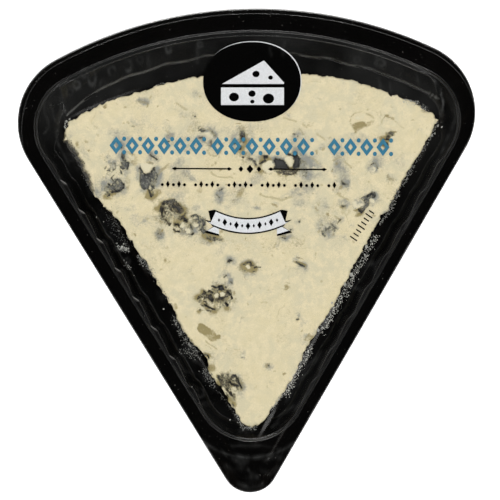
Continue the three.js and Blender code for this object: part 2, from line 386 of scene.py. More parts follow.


# The flutes of the two side walls, and where a highlight is painted on them. Each is a saw tooth: a quick
# step in from the straight wall, then a slow way back out towards the tip, as far as the next step.
def fluteDepth(mouth):
    stretch, share = mouth["stretch"], mouth["share"]
    flute, shine = np.zeros(len(share)), np.zeros(len(share))
    for side, turn in (("left", -1), ("right", 1)):
        f = tray[side + "Flutes"]
        toTip = np.array([-turn * math.sin(halfAngle), -math.cos(halfAngle)])
        along = (mouth["point"] - fromPhoto(*f["pixel"])) @ toTip
        tooth = np.mod(along, f["length"])
        wayBack = np.maximum(tooth - f["step"], 0) / (f["length"] - f["step"])
        depth = step(0, f["step"], tooth) * (1 - wayBack**1.2) * f["depth"]
        flute = np.where(stretch == side, depth * plateau(share, 0.06), flute)
        # a dash of painted highlight at each flute's step
        dash = f["shine"] * step(0.1, 0.6, tooth) * step(f["step"], f["step"] - 0.6, tooth)
        dash = dash * plateau(share, 0.12) * (1 - 0.5 * share) * step(0.84, 0.78, share)
        shine = np.where(stretch == side, dash, shine)
    return flute, shine


# What changes from place to place along the tray: the lip of the round side, the shoulder's width, how
# far the wall leans in, its flutes, and how far the stronger painted highlight of the right side reaches.
def trayPlan():
    s = tray
    edge, mouth = wedgeOutline(packEdge, s["counts"]), wedgeOutline(trayMouth, s["counts"])
    stretch, share = mouth["stretch"], mouth["share"]
    onArc = np.where(stretch == "arc", plateau(share, 0.03), 0)
    onTip = np.where(stretch == "tip", plateau(share, 0.4), 0)
    lipShare = np.where(stretch == "arc", 1.0, 0)
    lipShare = np.where(stretch == "rightCorner", 1 - step(0.1, 0.75, 1 - share), lipShare)
    lipShare = np.where(stretch == "leftCorner", 1 - step(0.55, 1.0, share), lipShare)
    isCorner = (stretch == "rightCorner") | (stretch == "leftCorner")
    inCorner = np.where(isCorner, plateau(share, 0.3), 0)
    cornerDraft = np.where(stretch == "leftCorner", s["leftCornerDraft"], s["rightCornerDraft"])
    shoulder = s["shoulderWidth"] + (s["arcShoulderWidth"] - s["shoulderWidth"]) * onArc
    flute, shine = fluteDepth(mouth)
    pixelX, pixelY = toPhoto(*mouth["point"].T)
    bright = s["brightSide"]
    return dict(
        edge=edge, mouth=mouth, onArc=onArc, onTip=onTip, inCorner=inCorner,
        lipShare=lipShare, lip=s["lipWidth"] * lipShare, lipTop=flangeTop - s["lipDrop"] * lipShare,
        shoulder=shoulder, wallStart=shoulder - 0.1 + s["shoulderRadius"],
        draft=s["wallDraft"] + (cornerDraft - s["wallDraft"]) * inCorner + s["tipDraft"] * onTip,
        flute=flute, shine=shine, wander=s["wallUneven"] * latticeNoise(*(mouth["point"] * 0.16).T, 61),
        onRight=step(*bright["x"], pixelX) * step(*bright["y"], pixelY),
    )


# A ring round the tray: an outline moved inwards, at a height. Both may change from place to place.
def ringAt(outline, inset, height):
    level = np.zeros(len(outline["point"]))
    flat = outline["point"] - outline["outward"] * (level + inset)[:, None]
    return np.column_stack([flat, level + height])


# The rim and the lip. The lip is nearly flat and ends in a small rounded step up to the flange. Every
# ring of the upper face comes with how much highlight is painted on it.
def rimRings(p):
    edge, lip, lipTop = p["edge"], p["lip"], p["lipTop"]
    rim = ((0.03, 0.1 - sheet), (0, 0.18 - sheet), (0, -0.06), (0.015, -0.015), (0.05, 0))
    rings = [(ringAt(edge, inset, lipTop + rise), 0) for inset, rise in rim]
    steps = (
        (0.3, 0.02, 0), (0.6, 0.04, 0), (0.87, 0.06, 0), (0.9, 0.07, 0),
        (0.93, 0.5, 0.03 + 0.16 * p["onRight"]), (0.98, 0.97, 0.02 + 0.1 * p["onRight"]),
    )
    for part, rise, shine in steps:
        height = lipTop + (flangeTop - lipTop) * rise
        rings.append((ringAt(edge, tray["lipStart"] + lip * part, height), p["lipShare"] * shine))
    rings.append((ringAt(edge, lip + 0.24, flangeTop), 0))
    return rings


# The flange between the lip and the mouth, faintly uneven from the forming, and the mouth's rounded edge.
def flangeRings(p):
    s, edge, mouth = tray, p["edge"], p["mouth"]
    radius, top = s["mouthRadius"], flangeTop - s["flangeSink"]
    start = edge["point"] - edge["outward"] * (p["lip"] + s["flangeStart"])[:, None]
    end = mouth["point"] + mouth["outward"] * radius
    rings = []
    for part in (0, 0.06, 0.2, 0.4, 0.6, 0.8, 0.94, 1.0):
        flat = start + (end - start) * part
        uneven = s["flangeUneven"] * cloudNoise(flat[:, 0], flat[:, 1], 9, 2, 71)
        rings.append((np.column_stack([flat, top + uneven]), 0))
    # A painted highlight on the mouth's rounded edge, strongest at the tip.
    mouthShine = 0.05 * (0.4 + p["onArc"]) + 0.35 * p["onTip"]
    for angle, shine in zip(quarterTurn[1:], (0, 0, mouthShine, 0, 0)):
        inset, drop = radius * (math.sin(angle) - 1), radius * (1 - math.cos(angle))
        rings.append((ringAt(mouth, inset, top - drop), shine))
    return rings


# A concave fillet down to the shoulder, then a rounded edge over to the wall. A highlight is painted on the
# edge in a short dash at each flute's step, and faintly along the round side.
def shoulderRings(p):
    radius = tray["shoulderRadius"]
    rings = []
    for angle in quarterTurn:
        inset, rise = 0.04 + radius * (1 - math.cos(angle)), radius * (1 - math.sin(angle))
        rings.append((ringAt(p["mouth"], inset, shoulderTop + rise), 0))
    dashes = tray["fluteShine"] * p["shine"]
    arcShine = p["onArc"] * (0.07 + 0.3 * p["onRight"]) * (0.8 + 8 * p["wander"])
    for angle, share, shine in zip(quarterTurn, (0.3, 1, 1, 1, 0.6, 0), (0, 0, arcShine, 0, 0, 0)):
        inset = p["shoulder"] - 0.1 + tray["fluteAtTop"] * p["flute"] + radius * math.sin(angle)
        height = shoulderTop - radius * (1 - math.cos(angle))
        rings.append((ringAt(p["mouth"], inset, height), dashes * share + shine))
    return rings


# How far inside the mouth the wall stands, and its height, at a share of its way down. It leans in, and
# its flutes grow downwards.
def wallAt(p, part):
    wallTop, wallFoot = shoulderTop - tray["shoulderRadius"], floorTop + tray["footRadius"]
    growth = tray["fluteAtTop"] + (1 - tray["fluteAtTop"]) * part
    inset = p["wallStart"] + (p["draft"] - p["shoulder"]) * part + p["flute"] * growth
    return inset, wallTop + (wallFoot - wallTop) * part


# The rounded foot of the wall at an angle, on which the flutes fade by a share.
def footAt(p, angle, fade):
    radius = tray["footRadius"] * (1 + 0.5 * p["inCorner"])
    inset = p["wallStart"] + p["draft"] - p["shoulder"] + p["flute"] * fade + p["wander"]
    height = floorTop + tray["footRadius"] * (1 - math.sin(angle))
    return inset + radius * (1 - math.cos(angle)), height


# The wall and its rounded foot.
def wallRings(p):
    rings = []
    for part in np.linspace(0.04, 1, 13):
        inset, height = wallAt(p, part)
        rings.append((ringAt(p["mouth"], inset + p["wander"] * part, height), 0))
    for angle in quarterTurn[1:]:
        rings.append((ringAt(p["mouth"], *footAt(p, angle, 1 - 0.5 * math.sin(angle))), 0))
    return rings


# The floor's rings from the wall's foot inwards, a little uneven.
def floorRings(p, footInset):
    base = p["mouth"]["point"]
    rings = []
    for part in np.concatenate([np.linspace(0.05, 0.54, 31), [0.62, 0.75, 0.88, 1.0]]):
        uneven = tray["floorUneven"] * cloudNoise(base[:, 0] + 5 * part, base[:, 1], 6, 2, 81)
        inset = footInset + (tray["floorInset"] - footInset) * part
        rings.append((ringAt(p["mouth"], inset, floorTop + uneven * step(0, 0.2, part)), 0))
    return rings


# The lower face, from the middle outwards: it keeps the sheet's thickness under the floor and the sloped
# panel and outside the walls.
def underRings(p, footInset):
    edge, mouth, lip = p["edge"], p["mouth"], p["lip"]
    rings = []
    for part in (0.7, 0.45, 0.25, 0.1):
        ring = ringAt(mouth, footInset + (tray["floorInset"] - footInset) * part, 0)
        slope, _ = slopeHeight(ring[:, 0], ring[:, 1])
        ring[:, 2] = np.maximum(0, slope - sheet - 1.1 * step(floorTop, floorTop + 2, slope))
        rings.append(ring)
    for angle in quarterTurn[:0:-1]:
        inset, height = footAt(p, angle, 1)
        rings.append(ringAt(mouth, inset - sheet * math.cos(angle), height - sheet * math.sin(angle)))
    for part in np.linspace(1, 0, 7):
        inset, height = wallAt(p, part)
        rings.append(ringAt(mouth, inset - sheet, height))
    rings.append(ringAt(mouth, -0.8 * sheet, shoulderTop - 0.5 * sheet))
    rings.append(ringAt(mouth, -sheet, flangeTop - sheet - 0.3))
    rings.append(ringAt(mouth, -sheet - 0.3, flangeTop - sheet))
    rings.append(ringAt(edge, lip + 0.3, flangeTop - sheet))
    rings.append(ringAt(edge, tray["lipStart"], p["lipTop"] - sheet))
    return rings


# The whole sheet as one stack of rings: out under the floor, up round the rim and back in over the top.
# The sloped panel stands in front of the rings that lie below it, with a fillet at its foot.
def buildTray():
    p = trayPlan()
    rings = rimRings(p) + flangeRings(p)
    slopeFrom = len(rings) + 1
    rings += shoulderRings(p) + wallRings(p)
    footInset = np.einsum("ij,ij->i", p["mouth"]["point"] - rings[-1][0][:, :2], p["mouth"]["outward"])
    rings += floorRings(p, footInset)
    upper = np.array([ring for ring, _ in rings])
    # How much highlight is painted on each vertex of the upper face.
    paintedHighlight = np.array([shine + np.zeros(upper.shape[1]) for _, shine in rings])
    inside, fillet = upper[slopeFrom:], tray["slope"]["fillet"]
    slope, slopeShine = slopeHeight(inside[..., 0], inside[..., 1])
    near = np.maximum(fillet - np.abs(inside[..., 2] - slope), 0) / fillet
    inside[..., 2] = np.maximum(inside[..., 2], slope) + near * near * fillet * 0.25
    paintedHighlight[slopeFrom:] = np.maximum(paintedHighlight[slopeFrom:], slopeShine)
    middle = upper[-1] - [0, 0, sheet]
    middle[:, 2] = np.maximum(middle[:, 2], 0)
    lower = np.array([middle] + underRings(p, footInset))
    paintedHighlight = np.concatenate([np.zeros(lower.shape[:2]), paintedHighlight])
    vertices, faces = ringSolid(np.concatenate([lower, upper]))
    return vertices, faces, dict(paintedHighlight=np.append(paintedHighlight.ravel(), [0, 0]))


# Nearly black plastic: a cloudy tint and gloss, stretch marks down the walls, a few specks of dust, and
# paler edges where a highlight is painted on them.
def trayFinish():
    material, tree, shader, place = newMaterial("black formed plastic", IOR=1.5)
    streaks = addNode(tree, "ShaderNodeMapping", {"Vector": place, "Scale": (1, 1, 0.2)}).outputs["Vector"]
    cloudy = noiseField(tree, place, 90, 5)
    tint = mixColours(tree, cloudy, (0.0007, 0.0007, 0.0008, 1), (0.0016, 0.0014, 0.0013, 1))
    dusty = arithmetic(tree, "MULTIPLY", grainMask(tree, place, 1500, 1, 0.5, 0.74, 0.8), 0.12)
    tint = mixColours(tree, dusty, tint, (0.5, 0.48, 0.44, 1))
    # painted highlight: pale colour laid on the edges from the mesh's field, where they would catch the light
    tint = mixColours(tree, meshField(tree, "paintedHighlight"), tint, (0.42, 0.42, 0.41, 1))
    tree.links.new(tint, shader.inputs["Base Color"])
    rough = {"Value": cloudy, "To Min": 0.06, "To Max": 0.13}
    tree.links.new(addNode(tree, "ShaderNodeMapRange", rough).outputs["Result"], shader.inputs["Roughness"])
    fine = arithmetic(tree, "MULTIPLY", noiseField(tree, place, 2600, 2), 0.25)
    height = arithmetic(tree, "ADD", fine, noiseField(tree, streaks, 420, 3))
    bump = addNode(tree, "ShaderNodeBump", {"Height": height, "Strength": 0.12, "Distance": 0.00004})
    tree.links.new(bump.outputs["Normal"], shader.inputs["Normal"])
    return material


# The cheese's top edge, followed along the film in the photo's pixels. Its corners join the four
# stretches. Here and below, a line or an outline is the x and y of its pixels in turn.
cheeseOutline = dict(
    left=(240, 421, 229, 400, 220, 386, 209, 373, 206.5, 361, 204, 354, 192, 343, 182, 329, 174, 311,
          165, 296, 150, 271, 135, 247, 128, 234, 117, 218, 104, 205, 95, 196, 92, 180, 83, 161, 73, 147,
          70, 140.5, 64.5, 139.5, 65.5, 131, 68, 123),
    right=(264, 420, 277, 402, 290, 383, 303, 357, 311, 340, 330, 311, 346, 281, 362, 251, 378, 222, 381, 215,
          388.5, 211, 396, 193, 406, 175, 417, 158, 428, 140, 438, 119),
    arc=(68, 123, 80, 115.5, 96, 107, 107, 101, 119, 97.3, 135, 92.7, 139.5, 93.6, 152, 87.6, 153, 86,
          170, 82.3, 185, 78.3, 215, 74.6, 250, 73, 303, 74, 330, 76.5, 352, 80.5, 370, 86.5, 388, 92.2,
          391, 97, 395, 95.8, 410, 101, 421, 105.5, 422.5, 110, 430, 111.2, 438, 119),
    tip=(240, 421, 243.5, 425.5, 250, 427.6, 258, 425.6, 264, 420),
)

# The cheese: the grid of its top, the depths of its marks in millimetres and their sizes in pixels.
cheese = dict(
    columns=296, rows=292, tipRows=0.22, tipShare=0.34, crowding=0.055,
    pocketDepth=1.1, stainDepth=0.14, lumpDepth=0.16, creaseDepth=0.22, creaseWidth=0.7, grainDepth=0.2,
    grainPixels=3.6, edgeRadius=0.34, ragged=0.22,
    sideLevels=8, sideInset=0.16, sideUneven=0.2,
    fuzzLine=((70, 141), (80, 160), (90, 184)), fuzzReach=7, fuzzBulge=1.6,      # mould on the left side
    bulgeLine=((176, 318), (192, 340)), bulgeReach=8, lowerBulge=0.35,
)

# Mould: patches (strength, outline) and strokes (strength, width, line), all in pixels. From 0.3 they
# are speckled, from 0.5 slate grey and from 0.9 nearly black.
mouldPatches = (
    (.7, (140.2, 170, 142.5, 173, 146, 174.5, 150, 173.5, 153, 171, 153, 176, 151, 180, 150.5, 185,
     148.5, 189, 144.5, 190.2, 141.5, 188.8, 140, 184, 139.6, 176)),
    (.5, (153, 171, 155, 168.5, 158.2, 174, 157, 182, 155, 188.5, 151.5, 191, 150.5, 185, 151, 180)),
    (.44, (147, 189, 152, 190, 154.5, 192, 153, 196.5, 149.6, 195.6)),
    (.62, (120.5, 161.5, 124, 161.2, 129, 161.5, 129, 164, 127.8, 170.5, 125, 168.8, 122.5, 169.2, 121, 166)),
    (.52, (121.6, 153, 124.5, 154, 126, 157, 126, 160, 123.6, 160.6, 121.8, 158)),
    (.58, (114, 181.5, 116.5, 179, 120, 180, 122.8, 182.5, 124, 186, 122, 189.8, 118, 191.2, 113, 192,
     110.5, 190, 111.5, 186, 112.5, 183.5)),
    (.36, (104, 186, 108, 183, 112, 186, 111, 191, 110.5, 196, 107, 198.5, 104.5, 196, 104, 190)),
    (.3, (109, 163, 119, 161, 122, 172, 114, 178, 107, 176, 104, 168)),
    (.5, (163, 201, 166, 200, 170, 200.5, 168, 204, 172, 209, 176, 213.5, 180, 214.5, 182, 216, 185, 217.5,
     188.5, 219.5, 186.5, 223, 183, 222.5, 180, 221, 177, 218.5, 173, 220, 171.5, 223.5, 169.5, 226,
     166, 223.8, 162, 221, 158.5, 218.5, 157.8, 214, 159, 209, 161, 205.5)),
    (.6, (168, 201, 174, 198.6, 178, 202, 183, 208, 185.5, 211, 180.5, 214.2, 176, 213, 172, 208.5,
     168, 204)),
    (.5, (205, 233.5, 210, 236, 216, 238.6, 222, 238.6, 223, 241, 219, 242, 212, 241, 206, 238)),
    (.36, (189, 215, 198, 215, 206, 219, 206, 233, 200, 233, 196, 228, 190, 224)),
    (.34, (172, 223, 181, 222, 184, 228, 181, 233, 174, 232)),
    (.32, (184, 222, 192, 226, 196, 234, 190, 236, 184, 231)),
    (1.12, (273.5, 160, 275, 157.5, 278, 159.5, 280, 158.3, 283, 160, 286, 163, 288.5, 166.5, 290, 168.6,
     282, 169, 274.5, 168.6, 274.5, 164)),
    (1.12, (294.5, 151.5, 297, 152.5, 298, 155, 300, 158, 300.3, 163, 299.5, 168, 292, 168.8, 293.5, 165,
     294.5, 161, 293.5, 157.5, 292, 155.5, 293.3, 154)),
    (.6, (272, 170, 300, 169.5, 297, 172.5, 292, 174.5, 284, 174.5, 277, 173)),
    (1.05, (262.5, 155.6, 268, 155.6, 268, 158.2, 264, 158.8)),
    (.56, (249, 158, 252.5, 157.5, 255.5, 161, 258, 164.5, 256, 166.5, 252.5, 163, 249.5, 161)),
    (.62, (258.5, 163, 262, 161, 266, 158.8, 266.5, 161, 262.5, 163.5, 259.5, 165)),
    (.44, (238.5, 131, 243, 130.5, 246, 134, 245, 140, 243, 147, 241, 152, 238, 150, 239, 143, 240, 137)),
    (.36, (300.5, 158, 306, 160, 309, 168, 307, 178, 302, 176, 300.8, 168)),
    (.44, (197, 122.5, 200, 124.5, 203.5, 128.5, 206, 131, 203, 132, 197.5, 131.5, 194.5, 127)),
    (.6, (359, 198.5, 363, 196, 367, 195, 370, 192.5, 375, 192.5, 376, 195.5, 374.5, 198, 371, 197.5,
     369, 200, 370, 203, 369, 206, 365.5, 209, 362, 214, 358.5, 211.5, 359, 209, 363, 207, 365.5, 204,
     364.5, 201.5, 361, 199.5)),
    (.46, (384.5, 131.2, 388, 132.6, 391.5, 131.6, 395, 132.6, 394, 136, 391, 137.2, 389, 139.5, 385.5, 139.5,
     387, 135)),
    (.3, (320, 222, 327, 219, 333, 224, 338, 229, 334, 232, 328, 233, 325, 237, 320.5, 235, 320, 229)),
    (.8, (227, 262.5, 228.5, 260, 227.8, 258.4, 229.5, 259.6, 232.8, 261.2, 230.5, 262.2, 229.5, 263.8,
     228.5, 262.5)),
    (.36, (197, 297, 203, 292, 209, 290, 214, 286, 222, 285, 228, 289, 233, 294, 233, 300, 229, 305, 222, 308,
     215, 311, 206, 310, 200, 305)),
    (1.15, (218, 286, 222.5, 285.5, 223.5, 288, 224.5, 290, 221, 290.5, 218.5, 289.5)),
    (.9, (208, 294.5, 211.5, 293, 213, 297, 214, 300, 211, 301, 208.3, 298.5)),
    (1.12, (225, 302, 227, 302.5, 228.5, 305, 227.5, 307, 225.8, 305.5)),
    (.58, (220, 380.5, 223, 379, 227, 380, 229, 383, 228, 387, 224, 388.5, 220.5, 386)),
    (.46, (231.5, 379.4, 235.5, 378, 238, 382, 236, 384.4, 232, 383.6)),
    (.4, (217, 375, 228, 373, 238, 376, 241, 385, 236, 392, 235, 402, 229, 399, 222, 389)),
)
mouldStrokes = (
    (1, 1.3, (140, 168.5, 142.5, 172, 146, 174.5, 149, 173.5, 152.5, 171, 154.5, 167.5)),
    (.95, 2, (144.5, 175, 148.5, 175.4)), (.9, 1.6, (149, 190.5, 150, 193, 151, 196.5)),
    (.9, 1, (145, 187, 146.5, 188.5)), (1, 1.3, (150.5, 154.5, 153, 157, 157, 159.5)),
    (.4, 1.2, (146.5, 162.5, 149, 163.5, 154, 163)), (.9, 1.2, (122, 156, 123, 160, 126, 160)),
    (1, 1, (120.5, 167, 122.5, 169.5)), (.95, 1.2, (126.5, 163, 129, 163)), (.9, .9, (121, 171, 121.5, 174)),
    (.7, 1, (105, 160, 106.5, 161.5)), (.4, 1, (105.5, 164.5, 106, 166)),
    (.8, 1, (107, 170.5, 110, 171, 114, 169.5, 116, 168, 115.5, 166, 114.5, 163)),
    (.55, .9, (116, 170, 120, 170, 122, 173)), (.85, 1, (113.5, 175, 111.5, 178, 113, 181)),
    (.85, 1.2, (114, 180, 117, 179, 120, 180.5, 122, 183)), (.95, 1.6, (124, 184.5, 123.5, 187.5, 121, 190)),
    (1, 2, (121, 190, 117, 191.5, 112, 192)), (.8, 1.4, (108, 184, 110, 185.5)),
    (.9, 1.6, (110, 194, 109, 195.5)), (.9, 1.2, (106.6, 196.2, 107.4, 197)),
    (.5, 1, (104.5, 190, 105.5, 194)), (.45, .8, (101, 185, 104, 188, 108, 188)),
    (.9, 2, (119.5, 143, 121, 147)), (1.05, 2.2, (172, 206, 176, 208, 179, 209.5)),
    (.95, 2.6, (162.6, 203.5, 163.6, 203.6)), (1, 2.2, (160.5, 208, 161.5, 212, 162, 215)),
    (.85, 1.4, (164, 211, 166, 213)), (.85, 1.2, (162.5, 216.5, 165, 215.5)),
    (.8, 1.2, (167.6, 212.6, 168.6, 213.4)), (.8, 1.4, (170.5, 207, 172, 211)),
    (.7, 1, (180, 216.5, 183, 216, 185, 213)), (1, 2.2, (184, 219, 186, 221.5)),
    (.9, 1.2, (183, 221, 187, 222)), (.8, 1.1, (191, 217.5, 192, 215.5, 196, 214.5, 198.5, 217.5)),
    (1.05, 2, (176, 225, 177.5, 224, 180, 227)), (.6, 1, (172, 225, 173, 225)),
    (.8, 1.6, (173.5, 229.5, 175.5, 231.5, 179.5, 231)), (.95, 1.4, (190, 224.5, 191, 226, 191.5, 228)),
    (.95, 1.6, (192, 234.5, 194, 233)), (.6, 1, (184.6, 231.5, 185.6, 231.6)),
    (.75, 1.8, (200.5, 229.5, 202, 231.5, 203.5, 233)), (.7, 1.6, (203, 220, 203.5, 226)),
    (.7, 1.6, (209.6, 236.4, 210.6, 236.8)), (.7, 1.6, (214, 237.5, 215, 238)),
    (.5, .8, (157, 233.6, 160.6, 233.4, 161.6, 237, 159, 238.6, 156.4, 236.6)),
    (.5, 1.6, (217, 195, 219.5, 198)), (.5, 1.2, (219, 191, 222, 189)), (.7, 2.4, (242, 135, 243.5, 139)),
    (1, 1.4, (234.5, 143.5, 237, 143)), (.85, 2.4, (240, 147, 239.5, 149)),
    (.85, 2.4, (243, 156.5, 243.5, 158)), (.85, 1.2, (248.5, 159, 252, 158.5, 254.5, 162, 256.5, 165)),
    (.95, 1.6, (259, 163.5, 262, 161.5)), (1.05, 2, (286.5, 152, 288, 154, 290.5, 155.5)),
    (.8, 1.6, (283, 174, 290, 174.5, 296, 173)), (.5, .9, (263, 172, 268, 174.5, 273, 174)),
    (.6, 1.2, (303, 165, 304, 166)), (.7, 1, (304, 167, 305, 168)), (.75, 2, (293.6, 133.6, 294.4, 134.4)),
    (.6, 1.6, (297, 136, 298, 136.4)), (.3, 1.4, (294, 144, 295, 140)),
    (.65, 1.4, (199, 130.5, 203, 131, 205.5, 130.5)), (.6, .9, (212, 131, 214, 134, 216, 136.5)),
    (1, 1.4, (199, 137.5, 203.5, 138.2)), (.85, 1.4, (211, 141, 210.5, 146)), (.8, 2, (168, 142, 169, 142)),
    (.5, 1.4, (167.6, 135.4, 168.4, 135.6)), (.4, 1.1, (140, 101, 145, 102.5)),
    (.35, 1.4, (198, 93.6, 199, 94.4)), (.38, 1.4, (181.5, 116, 184, 117)),
    (.4, 1.2, (191, 113.5, 193.5, 115, 197, 118)), (.42, 2.4, (133, 126.5, 134, 126.5)),
    (.9, 2.6, (367.5, 196, 372, 193.5, 374, 196)), (.9, 2.6, (359, 210, 361.5, 212.5)),
    (.7, 1.4, (365, 202, 366, 204)), (.8, 3, (384, 143.4, 387, 145)), (.9, 1.2, (383, 139.5, 390, 140)),
    (.55, 1.2, (371, 165, 374.5, 162.5, 376, 165, 378, 168)), (.36, 1.1, (389, 176, 392, 179, 396, 180)),
    (.5, 1.6, (341.5, 181, 343, 184, 346.5, 185.5)), (.65, 1.4, (341, 205, 343, 207, 345.5, 206.5)),
    (.4, 1.4, (331, 171, 332.5, 169.5)), (.55, 2.4, (299, 221.4, 300, 221.6)),
    (.4, 1.4, (302.4, 221.6, 303.6, 222)), (.6, 1.2, (330, 222, 334, 227, 338, 229.5)),
    (.55, 1.6, (325, 228, 328, 230)), (.62, 2.2, (322, 233, 325, 236)), (.65, 1.4, (340, 220, 337.5, 223.5)),
    (.75, 1.1, (281.5, 236.5, 285, 238.5)), (.65, 1.6, (290.5, 232, 291, 230)),
    (.95, 1.4, (296.5, 262, 298, 263.5, 301, 264.5, 304.5, 266.5)),
    (.35, .8, (296, 257.5, 301, 258, 305, 259.5)), (.75, 1.4, (296, 317.5, 297, 319, 299, 319.5)),
    (.6, 1.6, (267.5, 364, 268.5, 366.5)), (.55, 1.4, (241, 357, 242, 357.5)),
    (.25, .8, (240, 352, 239.8, 357, 243, 360, 246, 357)), (1, 1.4, (212, 286, 216, 287.5, 219, 287)),
    (.6, 1.2, (211.5, 289, 215, 290)), (1, 1.3, (203.5, 291, 206, 293.5)), (.95, 2, (209, 291, 212.5, 292.5)),
    (1.15, 2, (212, 298, 212.4, 300)), (.85, 1.2, (197.5, 298.5, 200, 297.2, 203, 295.5)),
    (.45, .9, (197.5, 298.5, 198, 302)), (.85, 1.6, (204, 301, 206, 301.5)),
    (1.12, 1.7, (204.5, 304.5, 208, 307, 211, 308.2, 214.5, 309.5)),
    (.7, 1.1, (214, 298.5, 217, 299.5, 219, 302.5)), (.8, 1.3, (221, 298.5, 224, 298.3, 226.5, 297)),
    (.5, .9, (218, 302, 218.5, 306, 216, 308.5)),
    (1.05, 1.9, (227, 292, 229.5, 293.5, 231.5, 296, 232, 298.5)), (.7, 1.2, (229, 289.5, 231, 291)),
    (.5, 1.6, (200, 310, 203, 310.5)), (.6, 1.4, (207, 310.5, 212, 311)),
    (.9, 1.1, (223.5, 277.5, 226, 275.5)), (.45, .8, (226, 279, 225, 281.5, 224.5, 284)),
    (.55, 1.2, (231, 282, 232, 283.5)), (.6, 1.2, (225, 287, 226, 288)), (.7, 1.1, (243.5, 264.5, 245, 264)),
    (.75, 1.4, (246.5, 262.5, 248.5, 261.8, 250.5, 262, 251, 265, 250.5, 266)),
    (.7, 1, (252.5, 265.5, 254.5, 265.3)), (.75, 1.2, (254, 267.5, 257, 266.8, 260, 267.3)),
    (.65, 1.6, (253, 271.4, 254, 271.6)), (.42, .9, (241.5, 267, 243, 269.5, 246, 270.5)),
    (.95, 1.8, (229.5, 382, 231, 378.5, 233, 376, 236, 376)),
    (.95, 1.3, (236, 376.5, 238, 380, 240, 384.5, 241.5, 388)),
    (1.1, 1.9, (230.5, 382.6, 233, 385, 238, 386)), (1.05, 1.6, (240.6, 385.6, 241.4, 387)),
    (.7, 1.6, (229, 381, 229, 386)), (.75, 2.2, (225.5, 389, 228.5, 392, 231, 395)),
    (.9, 2, (230.5, 392, 232, 396)), (.7, 1.2, (226.5, 394, 228, 396.5)), (.5, 1, (217, 379, 217.5, 376.5)),
    (.6, 1, (222, 377, 223.5, 374)), (.6, .8, (227, 374.5, 229, 374)), (.5, 1.2, (232.5, 404, 234, 406)),
    (.75, 1.8, (203.5, 355, 207.5, 355.5, 208.5, 358)), (.5, 1, (222, 225, 226, 226)),
    (.4, 1, (186, 176, 190, 178)), (.5, 1.2, (285, 198, 289, 197)),
)
# Other marks on the cheese, each at its pixel: (x, y, half length, half width, turn in degrees, strength).
# First, where mould and its surroundings turn brown and olive instead of grey.
brownPatches = (
    (170, 217, 20, 16, 0, 1), (212, 239, 18, 7, 0, .8), (284, 173, 16, 6, 0, .9), (213, 301, 22, 15, 0, .9),
    (227, 390, 13, 15, 0, 1), (243, 150, 9, 14, 0, .7), (208, 362, 11, 8, 0, .8), (250, 267, 12, 7, 0, .7),
    (109, 196, 11, 6, 0, .7), (152, 196, 9, 6, 0, .7), (361, 123, 14, 6, 0, .6), (388, 141, 8, 9, 0, 1),
    (361, 212, 9, 5, 0, .6), (318, 204, 5, 8, 0, .6), (262, 165, 9, 9, 0, .6),
)
